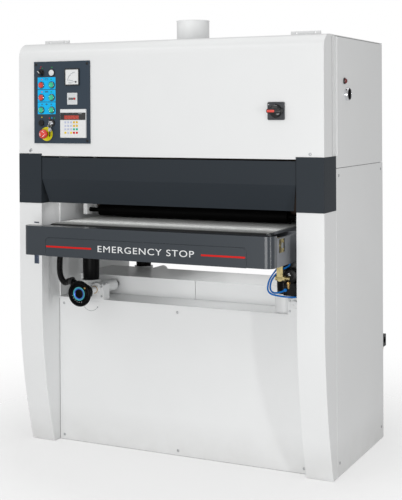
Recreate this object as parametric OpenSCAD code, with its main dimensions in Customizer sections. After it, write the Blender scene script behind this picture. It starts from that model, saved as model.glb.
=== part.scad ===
// Wide belt sander: boards ride on a feed belt under a wide abrasive belt.
// Millimetres. +X is the right-hand side seen from the infeed, +Y runs from infeed
// to outfeed, +Z is up. The origin is on the floor under the middle of the casing.

/* [Casing] */
// Width of the casing
body_w = 1400; // [1380:5:1440]
// Depth of the casing, front plane to rear plane
body_d = 760; // [750:5:800]
// Height of the roof above the floor
body_h = 1740; // [1735:5:1800]
// Thickness of the casing sheets
sheet = 3; // [2:0.5:4]
// Width of each side column
column_w = 114; // [110:1:118]
// Front plane to the front edge of the side panels
side_setback = 137; // [134:1:140]
// Depth of the front cover's sides
cover_return = 92; // [80:1:100]
// Radius of the front cover's top edge
cover_edge_r = 60; // [40:5:75]
// Height of the front cover
cover_h = 484; // [478:1:486]
// Roof to the seam under the upper side panels
upper_panel_h = 522; // [514:1:530]
// Roof to the lower edge of the beam caps
cap_drop = 688; // [684:1:692]
// Height of the beam caps
cap_h = 213; // [208:1:220]
// Height at which the leg covers start to curve back
leg_curve_h = 650; // [600:10:700]
// How far the leg covers curve back at the floor
leg_recess = 95; // [80:5:120]

/* [Dust port and lifting brackets] */
// Outer radius of the dust port
port_r = 70; // [60:1:90]
// Height of the dust port above the roof
port_h = 94; // [80:1:120]
// Front plane to the dust port's axis
port_setback = 295; // [260:5:400]
// Length of a lifting bracket
lug_len = 125; // [110:1:140]
// Height of a lifting bracket
lug_h = 18; // [17:1:24]
// Radius of the lifting holes
lug_hole_r = 4; // [3:0.5:4.5]
// Distance between the two lifting holes
lug_pitch = 78; // [60:1:90]

/* [Base] */
// Deck up to the stop bar's lower face
lift_room = 221; // [205:1:235]
// Thickness of the deck plate
deck_t = 6; // [4:1:8]
// Front plane to the chain cover's face
ridge_front = 305; // [300:1:315]
// Chain cover to the rear jack gearboxes
ridge_gap = 3; // [2:0.5:8]
// Height of the chain cover
ridge_h = 81; // [79:1:86]
// Height of the frame rails
rail_h = 80; // [70:5:90]
// Depth of the floor rails
rail_d = 80; // [60:5:90]
// Wall of the frame tubes
rail_wall = 6; // [4:1:8]
// Width and depth of the frame posts
post_w = 80; // [70:1:85]
// Width of an anchor foot
foot_w = 120; // [90:5:140]
// Depth of an anchor foot
foot_d = 100; // [60:5:110]
// Thickness of an anchor foot
foot_t = 12; // [8:1:16]
// Radius of the anchor holes
anchor_r = 9; // [6:0.5:12]
// Front to rear distance between the anchor holes
anchor_span_y = 230; // [200:5:250]

/* [Sanding head] */
// Roof to the sanding line
sanding_drop = 757; // [753:1:760]
// Radius of the contact drum
drum_r = 100; // [80:1:105]
// Column to the end of the contact drum
drum_gap = 96; // [94:1:106]
// Radius of the tension roller
tension_r = 60; // [50:1:70]
// Distance between the drum's and the tension roller's axes
loop_gap = 500; // [480:5:510]
// Drum end to the edge of the abrasive belt
abrasive_inset = 5; // [0:1:35]
// Thickness of the abrasive belt
abrasive_t = 1.2; // [0.8:0.1:2]
// Radius of the pressure rollers
press_r = 25; // [20:1:30]
// Distance of the pressure rollers from the drum's axis
press_y = 115; // [110:1:125]
// Roof to the head beam's lower face
beam_drop = 450; // [430:1:460]
// Height of the head beam
beam_h = 120; // [100:1:130]
// Depth of the head beam
beam_d = 110; // [80:1:120]
// Radius of the drive motor
motor_r = 112; // [100:1:121]
// Length of the drive motor
motor_len = 400; // [300:5:420]
// Radius of the motor pulley
motor_pulley_r = 70; // [50:1:75]
// Radius of the drum pulley
drum_pulley_r = 62; // [50:1:75]

/* [Table] */
// Column to the side of the conveyor table
table_gap = 34; // [26:1:46]
// Table side to the edge of the feed belt
feed_inset = 62; // [52:1:82]
// Thickness of the feed belt
feed_t = 4; // [3:0.5:5]
// Sanding line down to the feed belt's top
feed_drop = 8; // [6:1:12]
// Radius of the feed rollers
roller_r = 40; // [36:1:41]
// How far the idler roller's axis stands before the front plane
idler_reach = 60; // [55:1:62]
// How far the drive roller's axis stands behind the rear plane
drive_reach = 70; // [60:1:80]
// Thickness of the table's side plates
plate_t = 12; // [8:1:14]
// How far the stop bar stands before the front plane
bar_reach = 165; // [163:1:180]
// Depth of the stop bar
bar_d = 50; // [44:1:52]
// Height of the stop bar
bar_h = 121; // [115:1:124]
// Feed belt's top down to the stop bar's lower face
bar_drop = 124; // [121:1:129]
// Radius of the stop bar's corners
bar_r = 30; // [20:1:36]
// Table side to the end of the push plate
push_inset = 97; // [52:1:150]
// Height of the push plate
push_h = 74; // [50:1:90]

/* [Table lift] */
// Table side to the jack screws
jack_inset = 90; // [82:1:102]
// Front plane to the front jack screws
jack_front = 200; // [196:1:210]
// Rear jack screws to the drive roller's axis
jack_back = 150; // [146:1:154]
// Radius of the jack screws
screw_r = 16; // [12:1:18]
// Sideways distance from a jack screw to its worm shaft
worm_x = 70; // [66:1:74]
// Height of the worm shafts above the deck
worm_z = 45; // [43:1:48]
// Radius of the worm shafts
worm_r = 10; // [8:0.5:12]
// Height of the jack gearboxes
gearbox_h = 75; // [70:1:78]
// Radius of the jack housings
jack_r = 44; // [40:1:50]
// Outer radius of the screw boots
boot_r = 37; // [30:1:40]
// Radius of the handwheel
wheel_r = 55; // [45:1:65]

/* [Controls] */
// Width of the control panel
panel_w = 280; // [275:1:300]
// Height of the control panel
panel_h = 350; // [345:1:360]
// Thickness of the control panel
panel_t = 6; // [4:0.5:8]
// Casing side to the control panel's middle
panel_inset = 222; // [210:1:230]
// Roof to the control panel's middle
panel_drop = 255; // [250:1:260]
// Radius of the push buttons
button_r = 11; // [9:0.5:12]
// How far the push buttons stand out
button_out = 9; // [7:0.5:12]
// Radius of the mushroom button
mushroom_r = 20; // [16:1:24]
// Width of the thickness controller
keypad_w = 129; // [110:1:132]
// Width of the ammeter
meter_w = 72; // [60:1:76]
// Width of the main isolator's plate
isolator_w = 70; // [60:1:80]
// Casing side to the main isolator
isolator_inset = 195; // [170:1:220]
// Roof to the main isolator
isolator_drop = 297; // [260:1:340]

/* [Hidden] */
$fn = 48;

// Shared clearances and the overrun of every cut
overrun = 1;
run_clear = 0.05;
slip_clear = 0.3;
seam = 2;
loop_clear = 0.6;

// Planes of the casing
hw = body_w / 2;
front = -body_d / 2;
back = body_d / 2;
skin_in = hw - sheet;
col_in = hw - column_w;
post_in = col_in + sheet;
post_out = post_in + post_w;
side_y = front + side_setback;
rear_in = back - sheet;
roof_z = body_h - sheet;

// Levels, each from the roof or from the level above it
sanding_z = body_h - sanding_drop;
feed_z = sanding_z - feed_drop;
bar_z = feed_z - bar_drop;
deck_z = bar_z - lift_room;
cap_bottom_z = body_h - cap_drop;
cover_bottom_z = body_h - cover_h;
seam_z = body_h - upper_panel_h;
beam_z = body_h - beam_drop;
panel_z = body_h - panel_drop;
isolator_z = body_h - isolator_drop;
cap_z = cap_bottom_z + cap_h;
deck_low = deck_z - deck_t;
leg_y = side_y - seam;

// Widths, each from the columns or from the table
th = col_in - table_gap;
fh = th - feed_inset;
jack_x = th - jack_inset;
push_half = th - push_inset;
drum_len = 2 * (col_in - drum_gap);
abrasive_w = drum_len - 2 * abrasive_inset;
panel_x = hw - panel_inset;
isolator_x = hw - isolator_inset;

// Casing details
leg_arc_r = (leg_curve_h * leg_curve_h + leg_recess * leg_recess) / (2 * leg_recess);
leg_arc_fn = 720;
cap_proud = 2;
cap_lip = 20;
door_flange = 20;
pin_r = 5;
pin_inset = 10;
rail_strip = 57;
rear_half = post_out - 3 * sheet;
inner_top_z = cap_bottom_z + 2 * seam;
port_wall = 3;
port_flange_w = 22;
lug_foot = 40;
lug_t = 6;
lug_inset = 118;
lug_setback = 120;
lug_hole_z = 11;

// Frame details
frame_wall = 6;
side_rail_t = 26;
deck_rail_d = 40;
upright_x = 250;
low_rail_z = cap_bottom_z - 4 * sheet;
arm_w = 50;
arm_h = 44;
arm_rise = 10;
arm_z = cap_bottom_z + arm_rise;
arm_gap = 15;
journal_r = 10;
lug_drop = 20;
lug_w = 20;
press_lug_x = drum_len / 2 + arm_gap;

// Sanding head details
drum_z = sanding_z + abrasive_t + loop_clear + drum_r;
top_z = drum_z + loop_gap;
drum_shaft_r = 20;
hanger_gap = 20;
hanger_t = 20;
hanger_d = 100;
hanger_drop = 96;
hanger_clear = 4;
bearing_r = 45;
bearing_t = 30;
beam_wall = 8;
pulley_w = 44;
pulley_gap = 8;
drive_belt_w = 11;
drive_belt_pitch = 14;
drive_belt_t = 8;
yoke_up = 358;
yoke_z = drum_z + yoke_up;
yoke_h = 50;
yoke_d = 80;
yoke_arm_d = 70;
yoke_arm_up = 40;
yoke_rod_r = 16;
yoke_rod_x = 300;
yoke_rod_in = 60;
tension_pin_r = 15;
press_drop = 1;
press_short = 40;
press_z = sanding_z - press_drop + press_r;
motor_y = 100;
motor_gap = 40;
motor_plate_t = 15;
motor_lift = 4;
motor_foot_d = 180;
motor_foot_share = 0.7;
motor_box_w = 120;
motor_box_h = 45;
motor_shaft_r = 19;
motor_shaft_in = 60;
motor_z = rail_h + motor_plate_t + motor_lift + motor_r;
pulley_x = -post_in - side_rail_t - pulley_gap;
motor_face_x = -post_in + motor_gap;

// Hood details
hood_gap = 7;
hood_skirt_share = 0.523;
hood_over_table = 40;
hood_top_z = cover_bottom_z - hood_gap;
hood_bottom_z = max(cap_bottom_z + seam, sanding_z + hood_over_table);
hood_fold_z = hood_bottom_z + (hood_top_z - hood_bottom_z) * hood_skirt_share;
hood_back = 28;
hood_proud = 1;
hood_end = 20;
hood_pin_drop = 17;
hood_pin_back = 14;
hood_pin_z = min(hood_top_z, cap_z) - hood_pin_drop;
hood_pin_y = front + hood_pin_back;
hood_ear_t = 6;
hood_ear_h = 34;
hood_ear_d = 26;

// Table details
idler_y = front - idler_reach;
drive_y = back + drive_reach;
roller_z = feed_z - feed_t - loop_clear - roller_r;
bar_y = front - bar_reach;
plate_y = bar_y + bar_d;
plate_tail = 55;
plate_drop = 12;
plate_rear = drive_y + plate_tail;
plate_top_z = bar_z + bar_h - plate_drop;
plate_in = th - plate_t;
flange_w = 30;
flange_t = 6;
bed_t = 10;
bed_top_z = roller_z + roller_r + loop_clear - slip_clear;
bed_gap = 75;
tie_d = 80;
tie_gap = 10;
tie_low_z = roller_z - roller_r + tie_gap;
low_tie_h = 28;
roller_pin_r = 12;
roller_gap = 8;
window_d = 58;
window_h = 52;
window_back = 24;
block_d = 44;
block_lip = 4;
take_up_r = 5;
bar_wall = 4;
bar_over = 17;
push_trim = 10;
push_right = push_half - push_trim;
push_t = 4;
push_pin_r = 5;
push_pin_inset = 155;
push_pin_x = push_half - push_pin_inset;
push_travel = 8;
push_pin_out = 1;
jack_ys = [front + jack_front, drive_y - jack_back];

// Lift details
worm_up = deck_z + worm_z;
worm_xs = [-jack_x + worm_x, jack_x + worm_x];
worm_box_w = 70;
worm_box_d = 140;
worm_box_h = 64;
worm_boss_r = 17;
worm_box_t = 50;
worm_barrel_r = 26;
worm_boss_d = 18;
screw_low = 85;
screw_gap = 4;
screw_hole_r = screw_r + screw_gap;
boot_wall = 4;
boot_z = deck_z + gearbox_h + slip_clear;
wheel_t = 30;
wheel_rim = 14;
wheel_hub_r = 30;
wheel_out = 15;
wheel_dish = 8;
sprocket_r = 25;
chain_t = 4;
chain_w = 12;
ridge_y = front + ridge_front;
ridge_rear = jack_ys[1] - worm_box_d / 2 - worm_boss_d - ridge_gap;
chain_y = (ridge_y + ridge_rear) / 2;
ridge_hole_r = worm_r + seam;
encoder_r = 40;
encoder_d = 34;
encoder_gap = 3;
encoder_neck_r = 14;
encoder_y = front - wheel_out + wheel_t + encoder_gap;
gland_r = 14;
gland_reach = 76;
gland_up = 43;
conduit_in = 25;
conduit_r = 11;

// Feed drive details
gear_inset = 202;
gear_x = -th + gear_inset;
gear_w = 90;
gear_d = 80;
gear_h = 96;
feed_motor_r = 42;
feed_motor_len = 180;
feed_shaft_r = 12;
feed_shaft_back = 10;
feed_shaft_drop = 50;
feed_shaft_y = back + feed_shaft_back;
feed_shaft_z = bar_z - feed_shaft_drop;
hanger_plate_t = 6;
feed_sprocket_r = 28;
feed_chain_w = 8;
feed_chain_gap = 8;
feed_chain_t = 4;

// Air valve details
valve_inset = 2;
valve_setback = 22;
valve_drop = 49;
valve_x = th - valve_inset;
valve_y = front + valve_setback;
valve_z = bar_z - valve_drop;
valve_r = 30;
valve_len = 66;
valve_block_h = 52;
valve_block_drop = 78;
valve_block_z = valve_z - valve_block_drop;
bracket_w = 26;
bracket_t = 6;
bracket_h = 72;
bracket_setback = 16;
bracket_side = 54;
bracket_y = front + bracket_setback;
bracket_x = valve_x - bracket_side;
bracket_bolt_r = 7;
bracket_bolt_z = bar_z - bracket_h + bracket_w / 2;
muffler_r = 7;
muffler_h = 27;
muffler_x = -6;
muffler_up = 28;
tube_r = 3.5;
regulator_w = 48;
regulator_d = 44;
regulator_h = 52;
regulator_z = 398;
regulator_bowl_r = 15;
regulator_bowl_h = 26;
elbow_r = 7;
elbow_z = 384;

// Control details
face_y = front - panel_t;
button_pitch_x = 53;
button_pitch_z = 53.5;
button_x = 75.5;
button_z = 21.5;
switch_rise = 127;
key_drop = 88;
estop_drop = 135;
estop_x = -panel_x - button_x;
estop_z = panel_z - estop_drop;
col_a = estop_x - button_pitch_x / 2;
col_b = estop_x + button_pitch_x / 2;
row_z = [for (i = [1, 0, -1]) panel_z + button_z + i * button_pitch_z];
switch_z = panel_z + switch_rise;
key_z = panel_z - key_drop;
bezel_r = 15;
bezel_t = 4;
button_in = 1;
knob_r = 12;
knob_out = 19;
knob_lean = 45;
knob_bar_w = 8;
knob_stem_r = 6;
lamp_r = 15;
lamp_out = 7;
buzzer_r = 13;
buzzer_out = 6;
key_r = 9;
key_out = 8;
key_blade_t = 2.4;
key_blade_w = 22;
key_blade_out = 24;
estop_ring_r = 30;
estop_ring_t = 2;
estop_stem_r = 11;
estop_stem_out = 22;
mushroom_t = 16;
meter_side = 55;
meter_rise = 107;
meter_x = -panel_x + meter_side;
meter_z = panel_z + meter_rise;
meter_out = 6;
hour_w = 50;
hour_rise = 15;
hour_z = panel_z + hour_rise;
hour_out = 4;
keypad_drop = 90;
keypad_z = panel_z - keypad_drop;
keypad_out = 6;
keypad_shift = 5;
keypad_short = 7;
keypad_x = meter_x + keypad_shift;
keypad_h = keypad_w - keypad_short;
isolator_t = 8;
isolator_stem_r = 10;
isolator_len = 64;
isolator_bar_w = 20;
isolator_bar_t = 20;
isolator_gap = 4;
selector_setback = 268;
selector_y = front + selector_setback;
selector_drop = 230;
selector_z = body_h - selector_drop;
selector_ring_r = 26;
selector_ring_t = 8;
lever_len = 48;
lever_w = 16;
lever_t = 10;
selector_stem_r = 9;
screw_head_r = 6;
screw_head_t = 2;
screw_inset = 30;
front_inset = 22;
side_screw_z = 54;

// Routes of the bendy pieces, measured from the point where each one leaves its holder
conduit_y = encoder_y + encoder_d / 2;
conduit_top = [-plate_in + conduit_in, conduit_y, bar_z];
conduit_end = [worm_xs[0] - gland_reach, conduit_y, worm_up + gland_up];
conduit_shares = [[0, 0], [0, 0.12], [-0.04, 0.26], [-0.07, 0.4], [-0.08, 0.55], [-0.07, 0.68],
  [-0.02, 0.8], [0.08, 0.9], [0.21, 0.98], [0.36, 1.035], [0.51, 1.06], [0.66, 1.05], [0.79, 1.02],
  [0.9, 1], [1, 1]];
conduit_route = [for (s = conduit_shares) [conduit_top[0] + s[0] * (conduit_end[0] - conduit_top[0]),
  conduit_top[1], conduit_top[2] + s[1] * (conduit_end[2] - conduit_top[2])]];
tube_loop = 30;
tube_apart = 16;
tube_fall = 118;
tube_back = 15;
tube_top = [bracket_x, bracket_y + tube_back, bar_z];
tube_fore = valve_y - slip_clear - tube_r - tube_top[1];
tube_low = valve_block_z - slip_clear - tube_r - bar_z;
upper_shares = [[1.64, 0, 0], [1.64, 0, 0.05], [1.43, 0, 0.11], [0.87, 0, 0.186], [0.14, 0, 0.297],
  [-0.31, 0, 0.398], [-0.62, 0.05, 0.5], [-0.87, 0.15, 0.61], [-1, 0.3, 0.729], [-1, 0.5, 0.847],
  [-0.87, 0.7, 0.932], [-0.62, 0.85, 0.983], [-0.27, 0.95, 1], [0.2, 1, 0.983], [0.74, 1, 0.94],
  [1.14, 1, 0.89]];
upper_route = [for (s = upper_shares) tube_top + [s[0] * tube_loop, s[1] * tube_fore, -s[2] * tube_fall]];
lower_shares = [[0.3, 0, 0], [0.3, 0, 0.04], [0.1, 0, 0.114], [-0.18, 0, 0.206], [-0.49, 0.1, 0.305],
  [-0.78, 0.3, 0.411], [-1, 0.55, 0.533], [-1.11, 0.75, 0.663], [-1.09, 0.9, 0.777], [-0.91, 1, 0.86],
  [-0.6, 1, 0.914], [-0.18, 0.95, 0.944], [0.47, 0.85, 0.967], [1.2, 0.6, 0.99], [1.9, 0.3, 1],
  [2.6, 0.1, 1]];
lower_route = [for (s = lower_shares)
  tube_top + [s[0] * tube_loop, s[1] * (tube_fore - tube_apart), s[2] * tube_low]];
tube_sides = 8;
conduit_sides = 10;

// Box between two opposite corners
module block(a, b) {
  translate(a)
    cube(b - a);
}

// Round bars along each axis
module rod_x(x0, x1, y, z, r) {
  translate([x0, y, z])
    rotate([0, 90, 0])
      cylinder(h = x1 - x0, r = r);
}
module rod_y(y0, y1, x, z, r) {
  translate([x, y1, z])
    rotate([90, 0, 0])
      cylinder(h = y1 - y0, r = r);
}
module rod_z(z0, z1, x, y, r) {
  translate([x, y, z0])
    cylinder(h = z1 - z0, r = r);
}

// Open-ended square tube between two corners, hollow along one axis
function tube_inset(axis, wall) = [for (i = [0:2]) i == axis ? -overrun : wall];
module tube(a, b, axis, wall) {
  difference() {
    block(a, b);
    block(a + tube_inset(axis, wall), b - tube_inset(axis, wall));
  }
}

// Outline in the Y-Z plane drawn out along X
module along_x(x0, x1) {
  translate([x0, 0, 0])
    rotate([90, 0, 90])
      linear_extrude(x1 - x0)
        children();
}

// The piece and its mirror image
module both_sides() {
  children();
  mirror([1, 0, 0])
    children();
}

// Round tube swept along a route that never runs along Y
function unit(v) = v / norm(v);
function route_dir(p, i) = unit(p[min(i + 1, len(p) - 1)] - p[max(i - 1, 0)]);
function route_ring(p, i, r, n) = let (t = route_dir(p, i), u = unit(cross(t, [0, 1, 0])), v = cross(t, u))
  [for (k = [0:n - 1]) p[i] + r * (cos(360 * k / n) * u + sin(360 * k / n) * v)];
module sweep(p, r, n) {
  m = len(p);
  points = [for (i = [0:m - 1]) for (q = route_ring(p, i, r, n)) q];
  sides = [for (i = [0:m - 2]) for (k = [0:n - 1])
    [i * n + k, i * n + (k + 1) % n, (i + 1) * n + (k + 1) % n, (i + 1) * n + k]];
  ends = [[for (k = [0:n - 1]) n - 1 - k], [for (k = [0:n - 1]) (m - 1) * n + k]];
  polyhedron(points = points, faces = concat(sides, ends));
}

// Belt or chain around two round pieces whose axes run along X
module loop_x(x0, x1, a, ra, b, rb, t) {
  difference() {
    hull() {
      rod_x(x0, x1, a[0], a[1], ra + t);
      rod_x(x0, x1, b[0], b[1], rb + t);
    }
    hull() {
      rod_x(x0 - overrun, x1 + overrun, a[0], a[1], ra);
      rod_x(x0 - overrun, x1 + overrun, b[0], b[1], rb);
    }
  }
}

// Shallow sheet tray on the right-hand side, open towards the middle
module side_tray(y0, y1, z0, z1, flange) {
  difference() {
    block([skin_in - flange, y0, z0], [hw, y1, z1]);
    block([skin_in - flange - overrun, y0 + sheet, z0 + sheet], [skin_in, y1 - sheet, z1 - sheet]);
  }
}

// Small round control on the front of the control panel
module front_disc(x, z, r, y0, y1) {
  rod_y(face_y - y1, face_y - y0, x, z, r);
}

module base_frame() {
  rail_ys = [leg_y + sheet, -rail_d / 2, rear_in - rail_d];
  deck_ys = [leg_y + sheet, rear_in - deck_rail_d];
  color([0.62, 0.63, 0.63]) {
    both_sides()
      tube([post_in, side_y, 0], [post_out, rear_in, rail_h], 1, rail_wall);
    for (y = rail_ys)
      tube([-post_in, y, 0], [post_in, y + rail_d, rail_h], 0, rail_wall);
    for (y = deck_ys) {
      tube([-post_in, y, deck_low - rail_h], [post_in, y + deck_rail_d, deck_low], 0, rail_wall);
      both_sides()
        tube([upright_x, y, rail_h], [upright_x + rail_d, y + deck_rail_d, deck_low - rail_h], 2, rail_wall);
    }
    both_sides()
      for (y = [-anchor_span_y / 2, anchor_span_y / 2])
        difference() {
          block([post_in - foot_w, y - foot_d / 2, 0], [post_in, y + foot_d / 2, foot_t]);
          rod_z(-overrun, foot_t + overrun, post_in - foot_w / 2, y, anchor_r);
        }
  }
}

module deck_covers() {
  color([0.9, 0.9, 0.9]) {
    difference() {
      block([-col_in, leg_y, deck_low], [col_in, rear_in, deck_z]);
      for (y = jack_ys)
        both_sides()
          rod_z(deck_low - overrun, deck_z + overrun, jack_x, y, screw_hole_r);
    }
    difference() {
      both_sides()
        chain_cover_half();
      for (x = worm_xs)
        rod_y(ridge_y - overrun, ridge_rear + overrun, x, worm_up, ridge_hole_r);
    }
  }
}

module chain_cover_half() {
  difference() {
    block([seam / 2, ridge_y, deck_z + slip_clear], [col_in - seam, ridge_rear, deck_z + ridge_h]);
    block([-overrun, ridge_y + sheet, deck_z - overrun],
      [col_in - seam - sheet, ridge_rear - sheet, deck_z + ridge_h - sheet]);
  }
}

module side_frame(with_head_rail) {
  post_ys = [side_y, rear_in - post_w];
  y0 = side_y + post_w;
  y1 = rear_in - post_w;
  rail_out = post_in + side_rail_t;
  difference() {
    union() {
      for (y = post_ys)
        tube([post_in, y, rail_h], [post_out, y + post_w, roof_z], 2, frame_wall);
      block([post_in, y0, roof_z - rail_h], [rail_out, y1, roof_z]);
      block([post_in, y0, low_rail_z - rail_h], [rail_out, y1, low_rail_z]);
      for (y = [-press_y, press_y]) {
        block([post_in, y - arm_w / 2, low_rail_z], [rail_out, y + arm_w / 2, arm_z]);
        block([press_lug_x, y - arm_w / 2, arm_z], [rail_out, y + arm_w / 2, arm_z + arm_h]);
        block([press_lug_x, y - arm_w / 2, press_z - lug_drop],
          [press_lug_x + lug_w, y + arm_w / 2, arm_z + overrun]);
      }
      block([skin_in - rail_strip, side_y - rail_strip, cap_z], [skin_in, side_y, roof_z]);
      if (with_head_rail)
        block([post_in, y0, beam_z], [rail_out, y1, beam_z + beam_h]);
    }
    for (y = [-press_y, press_y])
      rod_x(drum_len / 2, press_lug_x + lug_w + overrun, y, press_z, journal_r + run_clear);
  }
}

module side_frames() {
  color([0.9, 0.9, 0.9]) {
    side_frame(false);
    mirror([1, 0, 0])
      side_frame(true);
  }
}

module casing_panels() {
  flange = skin_in - post_out;
  color([0.9, 0.9, 0.9]) {
    difference() {
      side_tray(side_y, back, seam, seam_z - seam, flange);
      rod_z(seam_z - 4 * seam, seam_z, hw - pin_inset, rear_in - pin_inset, pin_r + run_clear);
    }
    mirror([1, 0, 0]) {
      side_tray(side_y, back, seam, seam_z - seam, flange);
      side_tray(side_y, back, seam_z, roof_z, flange);
    }
    both_sides()
      block([col_in, side_y, deck_z], [post_in, rear_in, inner_top_z]);
    block([-rear_half, rear_in, seam], [rear_half, back, deck_low]);
    block([-rear_half, rear_in, arm_z], [rear_half, back, roof_z]);
  }
}

// Outline of the front cover, set in from the outside by one gap
module cover_outline(gap, y1, z0) {
  r = cover_edge_r - gap;
  translate([front + gap, z0])
    square([y1 - front - gap, body_h - cover_edge_r - z0]);
  translate([front + cover_edge_r, z0])
    square([y1 - front - cover_edge_r, body_h - gap - z0]);
  intersection() {
    translate([front + cover_edge_r, body_h - cover_edge_r])
      circle(r);
    translate([front, body_h - cover_edge_r])
      square(cover_edge_r);
  }
}

module front_cover() {
  y1 = front + cover_return;
  color([0.93, 0.93, 0.93])
    difference() {
      along_x(-hw, hw)
        cover_outline(0, y1, cover_bottom_z);
      along_x(-skin_in, skin_in)
        cover_outline(sheet, y1 + overrun, cover_bottom_z - overrun);
      both_sides()
        block([col_in - seam, front - overrun, cover_bottom_z - overrun],
          [hw + overrun, y1 + overrun, cap_z + slip_clear]);
    }
}

module roof_panel() {
  color([0.93, 0.93, 0.93])
    difference() {
      block([-hw, front + cover_return, roof_z], [hw, back, body_h]);
      rod_z(roof_z - overrun, body_h + overrun, 0, front + port_setback, port_r + slip_clear);
      rod_z(roof_z - overrun, body_h + overrun, hw - pin_inset, rear_in - pin_inset, pin_r + run_clear);
    }
}

// Outline of a leg cover, its curved front set back by one gap
module leg_outline(gap, y1, z0, z1) {
  intersection() {
    translate([front + gap + leg_arc_r, leg_curve_h])
      circle(leg_arc_r, $fn = leg_arc_fn);
    translate([front, z0])
      square([y1 - front, leg_curve_h - z0]);
  }
  translate([front + gap, leg_curve_h])
    square([y1 - front - gap, z1 - leg_curve_h]);
}

module leg_covers() {
  z1 = cap_bottom_z - slip_clear;
  color([0.93, 0.93, 0.93])
    both_sides()
      difference() {
        along_x(col_in, hw)
          leg_outline(0, side_y, seam, z1);
        along_x(post_in, skin_in)
          leg_outline(sheet, side_y + overrun, 0, z1 + overrun);
      }
}

module beam_caps() {
  y0 = front - cap_proud;
  color([0.24, 0.25, 0.28])
    both_sides()
      difference() {
        block([col_in, y0, cap_bottom_z], [hw, side_y, cap_z]);
        block([post_in, y0 + sheet, cap_bottom_z + sheet], [skin_in, side_y - sheet, cap_z - sheet]);
        block([post_in + cap_lip, y0 + sheet, cap_bottom_z + sheet],
          [skin_in, side_y + overrun, cap_z - sheet]);
        rod_x(col_in - overrun, post_in + overrun, hood_pin_y, hood_pin_z, pin_r + run_clear);
      }
}

module lower_front_panel() {
  color([0.93, 0.93, 0.93])
    block([-col_in + seam, leg_y, seam], [col_in - seam, leg_y + sheet, deck_low]);
}

module dust_port() {
  y = front + port_setback;
  z1 = body_h + port_h;
  color([0.93, 0.93, 0.93])
    difference() {
      union() {
        rod_z(roof_z, z1, 0, y, port_r);
        rod_z(body_h, body_h + port_wall, 0, y, port_r + port_flange_w);
      }
      rod_z(roof_z - overrun, z1 + overrun, 0, y, port_r - port_wall);
    }
}

module lifting_brackets() {
  x = hw - lug_inset;
  y = front + lug_setback;
  color([0.85, 0.85, 0.85])
    both_sides()
      difference() {
        union() {
          block([x - lug_len / 2, y, body_h], [x + lug_len / 2, y + lug_foot, body_h + lug_t]);
          block([x - lug_len / 2, y, body_h], [x + lug_len / 2, y + lug_t, body_h + lug_h]);
        }
        for (dx = [-lug_pitch / 2, lug_pitch / 2])
          rod_y(y - overrun, y + lug_t + overrun, x + dx, body_h + lug_hole_z, lug_hole_r);
      }
}

module control_panel() {
  color([0.24, 0.27, 0.31])
    difference() {
      block([-panel_x - panel_w / 2, face_y, panel_z - panel_h / 2],
        [-panel_x + panel_w / 2, front, panel_z + panel_h / 2]);
      for (x = [col_a, col_b])
        for (z = row_z)
          rod_y(face_y - overrun, front + overrun, x, z, button_r + run_clear);
      rod_y(face_y - overrun, front + overrun, col_a, switch_z, knob_stem_r + run_clear);
      rod_y(face_y - overrun, front + overrun, col_b, key_z, key_r + run_clear);
      rod_y(face_y - overrun, front + overrun, estop_x, estop_z, estop_stem_r + run_clear);
    }
}

module panel_meters() {
  color([0.2, 0.2, 0.22]) {
    block([meter_x - meter_w / 2, face_y - meter_out, meter_z - meter_w / 2],
      [meter_x + meter_w / 2, face_y, meter_z + meter_w / 2]);
    block([meter_x - hour_w / 2, face_y - hour_out, hour_z - hour_w / 2],
      [meter_x + hour_w / 2, face_y, hour_z + hour_w / 2]);
  }
}

module thickness_controller() {
  color([0.88, 0.88, 0.86])
    block([keypad_x - keypad_w / 2, face_y - keypad_out, keypad_z - keypad_h / 2],
      [keypad_x + keypad_w / 2, face_y, keypad_z + keypad_h / 2]);
}

// Ring seated on the control panel around a moving control
module bezel(x, z, r, hole, t) {
  difference() {
    front_disc(x, z, r, 0, t);
    front_disc(x, z, hole + run_clear, -overrun, t + overrun);
  }
}

module switch_plates() {
  color([0.75, 0.76, 0.77]) {
    for (x = [col_a, col_b])
      for (z = row_z)
        bezel(x, z, bezel_r, button_r, bezel_t);
    bezel(col_a, switch_z, bezel_r, knob_stem_r, bezel_t);
    bezel(col_b, key_z, bezel_r, key_r, bezel_t);
    bezel(estop_x, estop_z, estop_ring_r, estop_stem_r, estop_ring_t);
    front_disc(col_b, switch_z, lamp_r, 0, lamp_out);
    front_disc(col_a, key_z, buzzer_r, 0, buzzer_out);
    difference() {
      block([isolator_x - isolator_w / 2, front - isolator_t, isolator_z - isolator_w / 2],
        [isolator_x + isolator_w / 2, front, isolator_z + isolator_w / 2]);
      rod_y(front - isolator_t - overrun, front + overrun, isolator_x, isolator_z,
        isolator_stem_r + run_clear);
    }
  }
}

module head_beam() {
  hang_x = drum_len / 2 + hanger_gap;
  beam_end = hang_x + hanger_t;
  color([0.35, 0.37, 0.4])
    difference() {
      union() {
        tube([-post_in, -beam_d / 2, beam_z], [beam_end, beam_d / 2, beam_z + beam_h], 0, beam_wall);
        both_sides()
          block([hang_x, -hanger_d / 2, drum_z - hanger_drop], [beam_end, hanger_d / 2, beam_z]);
      }
      for (x = [-yoke_rod_x, yoke_rod_x])
        rod_z(beam_z + beam_h - beam_wall - overrun, beam_z + beam_h + overrun, x, 0,
          yoke_rod_r + run_clear);
      both_sides()
        rod_x(hang_x - overrun, beam_end + overrun, 0, drum_z, drum_shaft_r + hanger_clear);
    }
}

module drum_bearings() {
  x0 = drum_len / 2 + hanger_gap + hanger_t;
  color([0.3, 0.31, 0.33])
    both_sides()
      difference() {
        rod_x(x0, x0 + bearing_t, 0, drum_z, bearing_r);
        rod_x(x0 - overrun, x0 + bearing_t + overrun, 0, drum_z, drum_shaft_r + run_clear);
      }
}

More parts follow.
